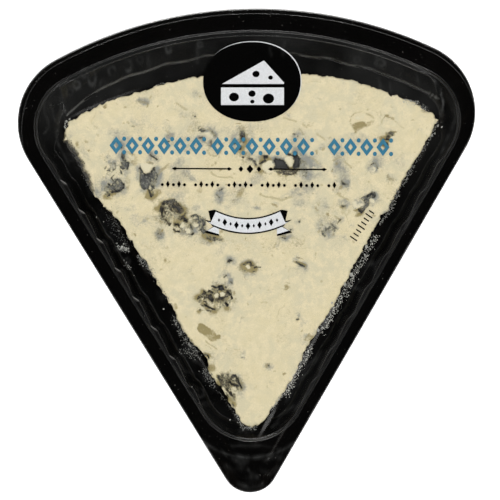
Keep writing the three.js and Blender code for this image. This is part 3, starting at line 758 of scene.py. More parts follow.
# Stains of a yellowish olive.
oliveStains = (
    (105.4, 106, 3, 1.8, -35, .6), (116.4, 104, 2.2, 1.4, 20, .62), (78, 145, 1.8, 4, -25, .4),
    (110, 101, 4, 1, -35, .4), (134, 160, 4.4, 6, 0, .35), (131, 153.6, 4.6, 1, 10, .5),
    (104, 166, 2, 3, 0, .4), (128, 183, 3, 8, 0, .4), (108, 196, 5, 4, 0, .5), (155, 192.6, 8, 4, -10, .5),
    (149.6, 163, 4.6, 1.2, 20, .62), (163, 169, 7, 1.4, -30, .4), (192, 130, 5, 7, 0, .3),
    (199, 126, 6, 6, 0, .4), (213, 133, 3.6, .9, 50, .55), (237.4, 123.6, 3, 1, 10, .6),
    (243, 142, 4, 7, 0, .5), (240, 130, 5, 4, 0, .3), (284, 173.6, 13, 3.4, 3, .8), (262, 172, 5, 3, 0, .5),
    (200, 190, 3.4, 3, 0, .5), (201, 184, 2, 4, 0, .3), (240, 193, 3, 6.4, 25, .45),
    (235, 202, 4, 2, -30, .25), (260, 195, 1.5, 1.5, 0, .6), (274.4, 205, 4, 1, 25, .55),
    (171.6, 218.4, 6, 4.4, 0, .8), (170, 212, 12, 11, 0, .42), (184, 222, 12, 6, 20, .4),
    (212, 237, 12, 4, 10, .6), (222, 240, 6, 2, 0, .45), (155, 240, 3.4, 3, 0, .3), (155, 214, 4, 8, 0, .3),
    (197, 219, 6, 5, 0, .4), (187, 198, 4, 1.4, 0, .2), (386.5, 116, 2, 1.3, 0, .7), (388, 140, 4, 2, 0, .5),
    (395, 131.6, 2, 1.3, 0, .7), (317.4, 152, 1.9, 3.4, 0, .62), (332.4, 171, 2, 1.3, -30, .6),
    (391, 178.6, 4, 3, 20, .35), (388, 175, 4, .9, 20, .3), (340.4, 187, 3, 2, -40, .6),
    (338, 194.4, 3, 2.4, 0, .62), (346, 190, 2, 4, 20, .3), (318.4, 202, 2, 4.6, 8, .5),
    (315.6, 208, 1.6, 1.6, 0, .4), (355, 210, 3.4, 1.4, 0, .7), (358.4, 215, 4, 1.8, -20, .5),
    (343, 207, 4, 2, 20, .5), (341, 221, 1, 2.4, -30, .4), (333, 235, 2, 1, -30, .5),
    (264, 226, 1.6, 1.6, 0, .5), (283.6, 236.6, 4, 1.3, 20, .5), (275, 245, 1, 4.6, 15, .35),
    (272, 255.6, 1.6, 1.6, -30, .32), (229.4, 261, 4, 2.4, 0, .5), (250, 267, 8, 5, 0, .36),
    (301, 258.4, 5.4, .8, 15, .5), (300, 263.6, 6.4, 1.8, 20, .7), (304, 266.6, 4, .7, 35, .4),
    (286, 288, 3.4, 2.6, -35, .6), (281, 294.6, 3.6, .9, -10, .45), (288, 283, 3, .7, 0, .4),
    (213, 298, 15, 10, -18, .42), (200.4, 311, 4, 1.6, -25, .55), (212, 303, 8, 5, 0, .35),
    (206, 345, 3, .7, 30, .3), (226, 384, 8, 6, 20, .62), (227, 396, 4, 7, -15, .6),
    (234.6, 402, 2.6, 6, -10, .42), (212, 368, 4, 5, -20, .55), (206, 355, 4, 3, 0, .6),
    (217, 377, 2, 2, 0, .5), (267, 365, 2.2, 2.6, 0, .4), (284, 374.4, 2.8, 1, -18, .6),
    (262, 359, 2, 1.4, 0, .25), (247.6, 304, 1, 1.2, 0, .4), (264.6, 302.6, 3.6, 1.2, 0, .3),
    (244, 360, 3, 2, 0, .3), (297, 319, 3, 1.8, 20, .5), (312, 337, 1.8, 3, 30, .6),
    (259, 417.6, 5, 1.6, -25, .22), (250, 427, 5, 1.2, 0, .55), (206, 260, 3, 3.4, 0, .2),
    (215, 271.6, 2, 1, 0, .2), (176, 306, 1.8, 3, 0, .45), (168, 264, 2, 2, 0, .15),
    (128, 123.4, 1.5, 1.5, 0, .4), (134, 126.4, 1.7, 1.2, 0, .45), (184, 117, 3, .9, 10, .45),
    (177, 109, 2, .9, 20, .35), (147.4, 106, .9, 2, 0, .6), (142, 102, 4.4, 1.1, 10, .5),
    (299, 343, 1, 4, 10, .2), (404, 128, 1.2, 1.2, 0, .4), (301, 122, 4, .6, 45, .3), (222, 225, 3, 1, 0, .4),
    (268, 152, 5, 1, 0, .3), (277, 149, 2, .9, 0, .5), (163, 205, 6, 1.2, -35, .3), (392, 210, 4, 2, -30, .5),
    (424, 112, 4, 2, 20, .35),
)
# Hollows and flakes of an olive tint, by their outlines: (strength, outline).
olivePatches = (
    (.66, (197, 330, 199, 324, 203, 324, 214, 331, 217, 336, 220, 335, 220.4, 338, 214, 341.4, 211, 341.2)),
    (.88, (197, 330, 199, 324, 203, 324, 211, 329, 210, 335, 205, 335, 200, 332.6)),
    (1.1, (197, 330, 199, 324, 202, 324, 201, 328, 200, 332)),
    (1.2, (216.6, 336.4, 220, 335, 220.4, 338, 217.6, 339)),
    (.86, (356, 122.8, 361.5, 121.6, 367, 122.4, 369, 124.8, 364, 127, 358, 129, 355.4, 127)),
    (.64, (353, 123.5, 358, 121.5, 361.5, 120.6, 366, 121.5, 371, 120.5, 373.5, 118.5, 374.5, 121,
     372.5, 124.5, 369, 126, 365, 127.5, 361, 129.5, 357, 132, 355.5, 134, 354.5, 130, 352, 126)),
    (.8, (384.5, 131, 388, 132.5, 391.5, 131.5, 395, 132.5, 394, 136, 391, 137, 389, 139.5, 385, 139.5,
     386.5, 135)),
    (.5, (304, 339, 309, 333, 313, 335, 311, 340, 306, 342)),
    (.5, (206, 372, 208, 365, 214, 363, 216, 367, 213, 373)),
    (.4, (150, 190, 158, 191, 157, 197, 150, 199, 144, 198)),
)
# Thin olive lines where folds of curd meet: (strength, width, line).
oliveStrokes = (
    (.7, .8, (350.5, 122, 350.5, 117, 354, 114, 359, 112, 361.5, 111.3)),
    (.5, .7, (350.5, 122, 352, 126, 355.5, 134)),
    (.7, .8, (381, 124, 383, 118.5, 386, 116, 390, 117.5, 394, 120, 398, 124, 402.5, 127.5)),
    (.5, .8, (380, 121, 384, 125)), (.5, 1.2, (281, 289, 285, 290, 287.5, 286.5)),
    (.4, .9, (280, 295, 284, 294)), (.45, .9, (206, 345, 209, 346, 211, 348.5)),
    (.5, 1, (139.6, 169, 139.4, 178, 140, 187)), (.45, .8, (131, 152, 134, 156, 133.6, 160, 131, 164)),
    (.5, 1, (157, 176, 160, 172.5, 163, 170)), (.55, 1.6, (237, 123.4, 240, 124.6)),
    (.5, 1.2, (243.4, 128, 244.2, 129)),
)
# Bluish grey smears round the mould.
greySmears = (
    (145, 101, 8, 4, 0, .55), (108, 161, 3.4, 6, 0, .5), (114, 166, 7, 6, 0, .5), (97, 192, 4, 10, -15, .5),
    (104, 188, 6, 8, 0, .5), (112, 178, 8, 6, 0, .5), (122, 158, 7, 8, 0, .4), (155.6, 178, 4.6, 10, 15, .75),
    (150, 160, 8, 6, 30, .3), (180, 162, 6, 6, 0, .5), (176, 166, 4, 5, 0, .35), (180, 112, 11, 3, 30, .25),
    (170, 128.6, 2, 2, 0, .3), (171, 136, 3, 5, 40, .35), (206, 131, 14, 9, 10, .3),
    (230, 131, 16, 6, -10, .32), (248, 137, 7, 12, 0, .36), (255, 160, 12, 6, 20, .4),
    (308, 168, 9, 12, 0, .6), (320, 176, 8, 5, 0, .3), (300, 191, 18, 5, -18, .4), (257, 208, 5, 3.4, 0, .6),
    (276, 204, 6, 2.6, 20, .3), (219.6, 193, 4, 5, 0, .4), (240, 188, 8, 5, 0, .3), (298, 133, 6, 6, 0, .32),
    (176, 213, 12, 9, 20, .6), (190, 225, 14, 8, 20, .5), (213, 241, 16, 5, 5, .4),
    (160, 235, 4, 4.6, 0, .55), (144, 220.6, 3.6, 2.6, 0, .3), (130, 208, 6, 4, 0, .22),
    (196, 207, 5, 3, 0, .35), (184, 229, 5, 5, 0, .6), (322, 145.6, 4, 4, 0, .45), (318, 164, 7, 5, 0, .3),
    (342, 166, 7, 11, -30, .32), (372, 168, 7, 6, 0, .45), (392, 179, 6, 4, 0, .3),
    (347, 183.4, 3.4, 3.4, 0, .55), (345, 203, 6, 4, 0, .6), (361, 204.6, 11, 6, -15, .5),
    (366, 198, 10, 5, -20, .4), (299, 221, 6, 3, 0, .3), (327, 227.6, 11, 9, 20, .55),
    (338, 222, 4, 6, -20, .3), (285, 234, 8, 4, 20, .5), (277, 243, 3, 6, 15, .3), (229, 261, 5, 4, 0, .3),
    (249.6, 266, 9.6, 6, 0, .42), (298, 271, 10, 6, 0, .26), (214, 297, 16, 12, -15, .42),
    (230, 281, 4.6, 8, 0, .35), (226, 303, 5, 5, 0, .45), (216, 357, 22, 6, 5, .22),
    (243.6, 356, 4, 4.6, 0, .45), (299.4, 315, 3.4, 4.4, -20, .45), (231, 380, 11, 7, 20, .4),
    (238, 392, 5, 10, -20, .3), (305, 338, 7, 5, -30, .4), (300, 205, 12, 5, 10, .14),
    (386, 212, 6, 3, -40, .4), (70, 135, 4, 7, 0, .3), (86, 155, 4, 14, -35, .3), (320, 118, 3, 4, 0, .14),
    (342, 82, 3, 4, 0, .15), (165, 125, 7, 7, 0, .14), (218, 150, 7, 6, 0, .28), (235, 196, 14, 7, 0, .14),
)
# Flakes of clean curd that stand in or over the mould, by their outlines: (strength, outline).
curdPatches = (
    (.9, (141, 163.5, 146, 162.5, 151, 164.5, 154, 166, 152.5, 170, 149.5, 172.6, 146, 173, 142.5, 170.6,
     140.4, 167)),
    (.8, (263, 163, 268, 161, 272, 160.5, 273.6, 165, 274, 169.5, 272, 173, 266, 173, 262, 169)),
    (.8, (284.5, 158, 289, 156, 292.3, 158, 293.3, 162, 292.4, 166.5, 290.5, 168, 288, 165, 285.5, 161.5)),
    (.6, (195, 132.5, 202, 131.8, 209, 131.8, 212.6, 134.5, 213, 139, 207, 141.5, 202, 137, 196.5, 135)),
    (.7, (213.5, 294.6, 217, 292.5, 219, 294, 218, 297.6, 215, 297.6)),
    (.7, (219.6, 292.6, 223, 291.8, 225.4, 294, 224, 296.6, 220.6, 297.4)),
    (.7, (351, 202, 356, 200.5, 362, 201.5, 365, 204, 363, 206.5, 357, 208.6, 353, 207.5)),
    (.95, (369.8, 198.8, 372, 198.4, 375.6, 201, 374, 203, 370.4, 202)),
    (.6, (340.6, 203, 343, 200.6, 346.6, 202, 346, 205, 342, 205.4)),
    (.5, (369, 166, 374, 164.6, 377, 169, 374, 172, 369.6, 171)),
    (.5, (115, 181.6, 118.4, 180.8, 120, 183.6, 118, 186, 115, 185)),
    (.6, (354, 119, 358, 114, 366, 113, 371, 116, 370, 119.5, 362, 119.6, 357, 120.6)),
    (.8, (232, 387, 236, 387, 237, 391, 233, 391)),
    (.7, (209, 302.4, 213, 301.4, 216, 303, 212, 304.6, 208, 304)),
    (.9, (201.6, 299, 203.4, 296.8, 204.4, 297.6, 202.4, 301)),
    (.6, (325, 224, 330, 223, 331, 227, 327, 228)),
)
# Small round lumps of clean curd, marked like the stains.
curdLumps = (
    (131.4, 158, 3.6, 3, 0, .6), (113.6, 178, 1, 1.8, 15, .7), (182, 226, 2, 2.2, 0, .9),
    (187, 229.4, 2.4, 1.6, 0, .8), (195.6, 218, 2.4, 2, 0, .7), (196, 225, 3, 2.2, 0, .7),
    (188, 232, 2, 1.8, 0, .8), (391, 124, 7, 4, 35, .4), (392.4, 138.4, 3, 1.4, -25, 1),
    (248, 267, 2, 1.8, 0, .9), (243, 355, 1.6, 1.8, 0, .8), (228, 302, 1.6, 2, 0, .5),
    (283.6, 288, 2, 1.4, -30, .6), (170, 229, 2, 2, 0, .5), (322.6, 141, 2.4, 2, 0, .5),
)
# Thin cracks and folds in the curd, each a line of pixels; the material darkens them with painted shade.
creases = (
    (208, 128, 212, 131, 215, 137), (208, 150, 210.5, 155, 215, 157, 220, 152),
    (211, 172, 218, 176, 226, 177, 232, 178.4), (299.6, 128, 302, 131, 304, 134),
    (303.6, 123.6, 307.6, 127.6), (311, 158, 318, 164), (333, 161, 341, 157), (345, 161, 351, 167),
    (334, 216, 341, 221), (160, 172, 168, 164), (125, 152, 131, 153, 134, 158, 131, 163),
    (262, 196, 280, 200, 291, 197), (340, 196, 348, 200), (176, 104, 186, 110), (320, 136, 324, 139.5),
    (206, 342, 216, 349), (166, 131, 174, 138), (284, 118, 296, 122), (366, 113, 374, 119),
)


# The strongest of the marks at each pixel: strongest in the middle of a turned ellipse and smoothly 0
# beyond it. The pixels are shifted by noise first, so that no edge is a true ellipse.
def markField(x, y, marks, inner=0.5, outer=1.4, shift=1.0, seed=11):
    x = x + shift * (0.9 * cloudNoise(x, y, 5, 3, seed))
    y = y + shift * (0.9 * cloudNoise(x, y, 5, 3, seed + 40))
    field = np.zeros(np.shape(x))
    for markX, markY, length, width, turn, strength in marks:
        near = np.hypot(x - markX, y - markY) < outer * 1.1 * max(length, width) + 1
        right, down = x[near] - markX, y[near] - markY
        cosine, sine = math.cos(math.radians(turn)), math.sin(math.radians(turn))
        radius = np.hypot((right * cosine + down * sine) / length, (down * cosine - right * sine) / width)
        field[near] = np.maximum(field[near], strength * step(outer, inner, radius))
    return field


# How far a place lies from a shape of pixels, below 0 inside a closed one: (near, distance), where near
# picks the places within the margin of its box.
def shapeDistance(x, y, line, closed, margin):
    line = np.reshape(line + line[:2] if closed else line, (-1, 2)).astype(float)
    low, high = line.min(0) - margin, line.max(0) + margin
    near = (x > low[0]) & (x < high[0]) & (y > low[1]) & (y < high[1])
    nearX, nearY = x[near], y[near]
    distance = distanceToLine(nearX, nearY, line)
    if closed:
        inside = np.zeros(len(nearX), bool)
        for (ax, ay), (bx, by) in zip(line[:-1], line[1:]):
            if ay != by:
                inside ^= ((ay > nearY) != (by > nearY)) & (nearX < ax + (nearY - ay) * (bx - ax) / (by - ay))
        distance = np.where(inside, -distance, distance)
    return near, distance


# The strongest of the patches and strokes at each pixel, and a halo that fades out round them.
def shapeField(x, y, patches, strokes, shift, seed, softness=0.6, haloWidth=3.0):
    x = x + shift * cloudNoise(x, y, 5, 3, seed)
    y = y + shift * cloudNoise(x, y, 5, 3, seed + 40)
    field, halo = np.zeros(np.shape(x)), np.zeros(np.shape(x))
    shapes = [(strength, 0, line, True) for strength, line in patches]
    shapes += [(strength, width, line, False) for strength, width, line in strokes]
    for strength, width, line, closed in shapes:
        near, distance = shapeDistance(x, y, line, closed, 2.8 * haloWidth)
        distance = distance - 0.5 * width
        field[near] = np.maximum(field[near], strength * step(softness, -softness, distance))
        halo[near] = np.maximum(halo[near], strength * bell(np.maximum(distance, 0), haloWidth))
    return field, halo


# Grains: the distance to the nearest of points scattered one to a square, and that point's own
# random value from 0 to 1.
def granules(x, y, size, seed):
    random = np.random.default_rng(seed)
    offsets, tones = random.uniform(0, 1, (2, 128, 128)), random.uniform(0, 1, (128, 128))
    x, y = x / size, y / size
    column, row = np.floor(x).astype(int), np.floor(y).astype(int)
    nearest, tone = np.full(np.shape(x), 9.0), np.zeros(np.shape(x))
    for right in (-1, 0, 1):
        for down in (-1, 0, 1):
            c, r = (column + right) % 128, (row + down) % 128
            distance = np.hypot(column + right + offsets[0, r, c] - x, row + down + offsets[1, r, c] - y)
            tone = np.where(distance < nearest, tones[r, c], tone)
            nearest = np.minimum(nearest, distance)
    return nearest, tone


# Small random marks, more of them towards the round side.
def randomFlecks(count, smallest, largest, strongest, seed):
    random = np.random.default_rng(seed)
    x, y = random.uniform(80, 430, count), 88 + 330 * random.random(count) ** 1.35
    length = random.uniform(smallest, largest, count)
    width = length * random.uniform(0.3, 0.8, count)
    turn, strength = random.uniform(-90, 90, count), strongest * random.uniform(0.3, 1, count)
    return np.stack([x, y, length, width, turn, strength], 1).tolist()


# Points spaced evenly along a line of pixels, by its own length.
def evenly(line, share):
    line = np.reshape(line, (-1, 2)).astype(float)
    length = np.concatenate([[0], np.cumsum(np.hypot(*np.diff(line, axis=0).T))])
    at = share * length[-1]
    return np.stack([np.interp(at, length, line[:, 0]), np.interp(at, length, line[:, 1])], -1)


# The pixels of the cheese's top, as a patch between its four edges: the blend of left and right, plus
# the blend of tip and arc, less the blend of the four corners.
def cheeseGrid():
    s = cheese
    u, v = np.linspace(0, 1, s["columns"]), np.linspace(0, 1, s["rows"])
    v = np.interp(v, (0, s["tipRows"], 1), (0, s["tipShare"], 1))
    u = u - s["crowding"] * np.sin(2 * math.pi * u)
    left, right = evenly(cheeseOutline["left"], v)[:, None], evenly(cheeseOutline["right"], v)[:, None]
    tip, arc = evenly(cheeseOutline["tip"], u)[None], evenly(cheeseOutline["arc"], u)[None]
    u, v = u[None, :, None], v[:, None, None]
    corners = (1 - u) * (1 - v) * tip[:, :1] + u * (1 - v) * tip[:, -1:]
    corners = corners + (1 - u) * v * arc[:, :1] + u * v * arc[:, -1:]
    return (1 - u) * left + u * right + (1 - v) * tip + v * arc - corners


# The rows and columns of a grid's border, once round from its first corner.
def gridBorder(rows, columns):
    across, down = np.arange(columns - 1), np.arange(rows - 1)
    return np.concatenate([
        np.stack([0 * across, across], 1),
        np.stack([down, 0 * down + columns - 1], 1),
        np.stack([0 * across + rows - 1, columns - 1 - across], 1),
        np.stack([rows - 1 - down, 0 * down], 1),
    ])


# The marks on the top at each pixel, about 0 to 1. Mould is where density and speckles together are
# high, so that its patches break up into grains, and clean curd covers it. Olive and grey are the
# strongest of their stains, with a halo round the mould and a thin cloudy veil.
def cheeseMarks(x, y):
    s = cheese
    uneven = cloudNoise(x, y, 8, 4, 11)
    shiftedX, shiftedY = x + cloudNoise(x, y, 4, 2, 13), y + cloudNoise(x, y, 4, 2, 15)
    grainDistance, grainTone = granules(shiftedX, shiftedY, s["grainPixels"], 17)
    _, fineTone = granules(shiftedX, shiftedY, s["grainPixels"] * 0.55, 57)
    speckle = 0.3 * uneven + 0.45 * (grainTone - 0.5) + 0.5 * (fineTone - 0.5)
    brown = markField(x, y, brownPatches, 0.6, 1.6, 2.0, 61)
    curd = markField(x, y, curdLumps, 0.7, 1.25, 1.0, 31)
    curd = np.maximum(curd, shapeField(x, y, curdPatches, (), 0.5, 31)[0])
    curdMask = step(0.42, 0.75, curd + 0.25 * uneven * step(0, 0.3, curd))
    density, around = shapeField(x, y, mouldPatches, mouldStrokes, 0.45, 11)
    speckled = step(0.02, 0.3, density) * (1 - 0.6 * step(0.4, 0.6, density))
    mould = (1.05 * density + 0.8 * speckle * speckled) * (1 - 0.95 * curdMask)
    halo = around * (0.75 + 1.0 * uneven)

    olive = markField(x, y, oliveStains, 0.55, 1.35, 0.9, 15) * (1 + 0.5 * uneven)
    olive = np.maximum(olive, markField(x, y, randomFlecks(420, 0.7, 2.6, 0.6, 5), 0.5, 1.3, 0.8, 16))
    flakes = shapeField(x, y, olivePatches, oliveStrokes, 0.45, 15, 0.9)[0]
    olive = np.maximum(olive, flakes * (0.7 + 0.4 * uneven + 0.6 * fineTone))
    olive = olive + 1.1 * halo * brown + 0.2 * step(0.1, 0.9, cloudNoise(x, y, 13, 4, 67))

    grey = markField(x, y, greySmears, 0.3, 1.5, 1.6, 19)
    grey = np.maximum(grey, markField(x, y, randomFlecks(120, 3, 10, 0.34, 6), 0.1, 1.5, 1.6, 18))
    veil = step(0.0, 1.0, cloudNoise(x, y, 20, 4, 65)) * bell(y - 178, 52) * step(60, 130, x)
    broken = 1.2 * (0.75 + 0.3 * uneven + 0.6 * (fineTone - 0.4))
    grey = grey * broken + 0.6 * halo * (1 - 0.6 * brown) + 0.42 * veil

    crease = 0.55 * bell(cloudNoise(x, y, 30, 3, 47), 0.03) * step(0.05, 0.45, cloudNoise(x, y, 34, 2, 53))
    wandering = x + cloudNoise(x, y, 7, 2, 35), y + cloudNoise(x, y, 7, 2, 39)
    for line in creases:
        crease = np.maximum(crease, bell(distanceToLine(*wandering, line), s["creaseWidth"]))
    return dict(
        mould=mould, olive=olive, grey=grey, curd=curd, curdMask=curdMask, crease=crease, brown=brown,
        density=density, uneven=uneven, grainDistance=grainDistance,
    )


# The height of the top: a little below the film, less the pockets of mould between their grains, the
# stains, the creases and the rings round lumps of curd, and rounded off at the rim.
def cheeseHeight(x, y, fromRim, marks):
    s = cheese
    grainRound = np.minimum(marks["grainDistance"], 1) ** 2
    height = cheeseTop - 0.11 + 0.04 * cloudNoise(x, y, 11, 4, 23) + 0.03 * marks["uneven"]
    height -= s["pocketDepth"] * step(0.3, 1.0, marks["mould"]) * (1 - 0.25 * grainRound)
    height -= s["stainDepth"] * step(0.1, 0.9, marks["olive"])
    height -= s["grainDepth"] * step(0.05, 0.35, marks["density"]) * grainRound
    height -= s["creaseDepth"] * marks["crease"] + 0.05 * np.minimum(marks["grey"], 1)
    height -= s["lumpDepth"] * bell(marks["curd"] - 0.3, 0.14) * (marks["curd"] > 0.02)
    height = np.minimum(height, cheeseTop - 0.01)
    nearRim = step(s["edgeRadius"] * 1.6, 0, fromRim)
    return height - s["edgeRadius"] * (1 - np.sqrt(1 - nearRim**2 * 0.96))


# The cut sides, level by level below the rim: how far out, how far down, and their marks, with painted shade
# where the mould fuzz stands. They stand a little in from the rim, and out where mould fuzz and a bulge stand
# on them.
def cheeseSides(rimPlace, rimPixel):
    s = cheese
    ahead = np.roll(rimPlace[:, :2], -4, 0) - np.roll(rimPlace[:, :2], 4, 0)
    outward = np.stack([ahead[:, 1], -ahead[:, 0]], 1) / np.hypot(*ahead.T)[:, None]
    for _ in range(6):
        outward = (np.roll(outward, 3, 0) + outward + np.roll(outward, -3, 0)) / 3
    outward /= np.hypot(*outward.T)[:, None]
    fuzz = bell(distanceToLine(*rimPixel.T, s["fuzzLine"]), s["fuzzReach"])
    bulge = s["fuzzBulge"] * fuzz - s["sideInset"]
    bulge += s["lowerBulge"] * bell(distanceToLine(*rimPixel.T, s["bulgeLine"]), s["bulgeReach"])
    levels, mould, olive, grey = [], [], [], []
    for part in np.linspace(0, 1, s["sideLevels"] + 1)[1:]:
        drop = cheeseTop - (cheeseTop - cheeseBottom) * part**1.5
        shape = math.sin(math.pi * min(part * 1.15, 1)) ** 0.7
        acrossX, acrossY = rimPixel[:, 0] + 14 * part, rimPixel[:, 1] + 40 * part
        rough = s["sideUneven"] * cloudNoise(acrossX, acrossY, 6, 3, 29) * min(1, part * 2.5)
        flat = rimPlace[:, :2] + outward * (bulge * shape + rough - 0.5 * step(0.93, 1, part))[:, None]
        levels.append(np.column_stack([flat, np.minimum(rimPlace[:, 2] - 0.1 * part, drop)]))
        mould.append(1.1 * step(0.3, 0.95, cloudNoise(acrossX, acrossY, 14, 4, 73)) * (1 - fuzz))
        olive.append(0.7 * step(0.1, 0.9, cloudNoise(acrossX, acrossY, 17, 4, 75)))
        grey.append(0.1 + 0.6 * step(0.0, 0.9, cloudNoise(acrossX, acrossY, 20, 4, 77)))
    levels = np.array(levels)
    levels[-1, :, 2] = cheeseBottom
    # The sides' dark is painted shade, laid on where the mould fuzz stands.
    side = np.tile(0.84 * fuzz, s["sideLevels"])
    marks = dict(mould=mould, olive=olive, grey=grey)
    return levels, dict(side=side, **{name: np.concatenate(values) for name, values in marks.items()})


# The top's grid, strips down the sides from its border, and a fan that closes the bottom.
def buildCheese():
    s = cheese
    pixels = cheeseGrid()
    x, y = pixels[..., 0], pixels[..., 1]
    rows, columns = s["rows"], s["columns"]
    border = gridBorder(rows, columns)
    rimPixel = pixels[border[:, 0], border[:, 1]]
    fromRim = distanceToLine(x, y, np.concatenate([rimPixel[::6], rimPixel[:1]])) * photo["pixelSize"]

    # the edge is a little ragged, most at the very rim
    ragged = 1.6 * s["ragged"] / photo["pixelSize"] * step(1.6, 0, fromRim)
    raggedX, raggedY = ragged * cloudNoise(x, y, 4.5, 3, 21), ragged * cloudNoise(x, y, 4.5, 3, 25)
    x, y = x + raggedX, y + raggedY
    marks = cheeseMarks(x, y)
    height = cheeseHeight(x, y, fromRim, marks)
    top = np.concatenate([fromPhoto(x, y), height[..., None]], -1)
    levels, sideMarks = cheeseSides(top[border[:, 0], border[:, 1]], rimPixel)

    row, column = np.meshgrid(np.arange(rows - 1), np.arange(columns - 1), indexing="ij")
    a = (row * columns + column).ravel()
    faces = np.stack([a, a + 1, a + columns + 1, a + columns], 1).tolist()
    above, count = border[:, 0] * columns + border[:, 1], len(border)
    for level in range(len(levels)):
        below = rows * columns + level * count + np.arange(count)
        faces += np.stack([np.roll(above, -1), above, below, np.roll(below, -1)], 1).tolist()
        above = below
    hub = rows * columns + len(levels) * count
    faces += np.stack([np.full(count, hub), np.roll(above, -1), above], 1).tolist()
    vertices = np.concatenate([top.reshape(-1, 3), levels.reshape(-1, 3), levels[-1].mean(0)[None]])

    # side: painted shade, darkest at the very rim of the top
    topMarks = dict(marks, curd=marks["curdMask"], side=0.45 * step(0.3, 0, fromRim) ** 2)
    plain = np.zeros(len(levels) * count)
    fields = {
        name: np.concatenate([topMarks[name].ravel(), sideMarks.get(name, plain), [0]])
        for name in ("mould", "olive", "grey", "curd", "crease", "brown", "side")
    }
    return vertices, faces, fields


# Creamy curd with fine grain, and over it in turn: grey, olive stains, creases darkened with painted shade,
# the fringe of the mould, slate or earthy mould, its darkest depths, clean curd, and painted shade at the
# very edge and on the mould fuzz.
def cheeseFinish():
    material, tree, shader, place = newMaterial("creamy blue cheese", Roughness=0.5)
    fine, medium = noiseField(tree, place, 2300, 3, 0.6), noiseField(tree, place, 420, 5, 0.65)
    broad = noiseField(tree, place, 70, 6, 0.65)
    raggedFine = arithmetic(tree, "SUBTRACT", fine, 0.5)
    ragged = arithmetic(tree, "MULTIPLY", arithmetic(tree, "SUBTRACT", medium, 0.5), 0.8)
    ragged = arithmetic(tree, "ADD", ragged, arithmetic(tree, "MULTIPLY", raggedFine, 0.75))

    # a mark's field with an uneven edge, where it is present at all
    def mask(name, low, high, uneven):
        present = rampField(tree, meshField(tree, name), 0, 0.2)
        value = arithmetic(tree, "ADD", meshField(tree, name), arithmetic(tree, "MULTIPLY", uneven, present))
        return rampField(tree, value, low, high)

    tint = mixColours(tree, rampField(tree, broad, 0.4, 0.6), (0.63, 0.575, 0.40, 1), (0.70, 0.612, 0.39, 1))
    tint = mixColours(tree, rampField(tree, medium, 0.42, 0.62), tint, (0.745, 0.655, 0.44, 1))
    grain = arithmetic(tree, "MULTIPLY", grainMask(tree, place, 2300, 3, 0.6, 0.36, 0.66), 0.4)
    tint = mixColours(tree, grain, tint, (0.585, 0.525, 0.35, 1))
    tint = mixColours(tree, mask("grey", 0.03, 0.95, ragged), tint, (0.265, 0.268, 0.235, 1))
    tint = mixColours(tree, mask("olive", 0.06, 0.95, ragged), tint, (0.29, 0.235, 0.095, 1))
    # creases: real grooves, and a darker olive along them as painted shade
    creased = arithmetic(tree, "MULTIPLY", mask("crease", 0.1, 0.9, raggedFine), 0.6)
    tint = mixColours(tree, creased, tint, (0.36, 0.31, 0.16, 1))
    tint = mixColours(tree, mask("mould", 0.1, 0.5, raggedFine), tint, (0.27, 0.25, 0.155, 1))
    contrast = grainMask(tree, place, 1500, 3, 0.6, 0.43, 0.57)
    slate = mixColours(tree, contrast, (0.05, 0.052, 0.05, 1), (0.15, 0.15, 0.13, 1))
    earthy = mixColours(tree, contrast, (0.03, 0.025, 0.017, 1), (0.135, 0.11, 0.062, 1))
    mould = mixColours(tree, mask("brown", 0.2, 0.9, ragged), slate, earthy)
    tint = mixColours(tree, mask("mould", 0.36, 0.62, raggedFine), tint, mould)
    tint = mixColours(tree, mask("mould", 0.7, 1.05, raggedFine), tint, (0.014, 0.014, 0.014, 1))
    tint = mixColours(tree, mask("curd", 0.1, 0.9, raggedFine), tint, (0.69, 0.63, 0.45, 1))
    # painted shade, near black, at the very edge of the top and on the mould fuzz of the left side
    tint = mixColours(tree, mask("side", 0.1, 1.0, raggedFine), tint, (0.010, 0.011, 0.013, 1))
    tree.links.new(tint, shader.inputs["Base Color"])
    damp = addNode(tree, "ShaderNodeMapRange", {"Value": medium, "To Min": 0.42, "To Max": 0.6})
    tree.links.new(damp.outputs["Result"], shader.inputs["Roughness"])
    height = arithmetic(tree, "ADD", medium, arithmetic(tree, "MULTIPLY", fine, 0.5))
    bump = addNode(tree, "ShaderNodeBump", {"Height": height, "Strength": 0.35, "Distance": 0.0001})
    tree.links.new(bump.outputs["Normal"], shader.inputs["Normal"])
    return material


# The film: sealed on the flange, lying on the cheese, loose on the peel tab beyond the seal's round line.
film = dict(
    counts=dict(tip=90, side=185, corner=50, arc=320),
    middleRings=(0.08, 0.4, 0.75), gapRings=36, flangeRings=40, edgeInsets=(0.2, 0.08), cheeseInset=1.2,
    thickness=0.06, clearance=0.08, moatSag=0.12, uneven=0.012,
    stillPixel=(252, 80), stillReach=(50, 90),       # no sag round the badge, in pixels
    sealMiddle=(249.5, 382.3), sealRadius=75.2, sealWidth=1.1, sealHeight=0.02, tabFrom=(425, 438),
    tabLift=0.1, tabCrumple=0.025,
    # sealBright and tabBright set the painted highlights of the seal's line and of the tab's creases.
    hazeBright=0.004, sealBright=0.035, tabBright=0.0038,
)
filmLevel = flangeTop + film["clearance"]            # the film's lower face where it lies flat
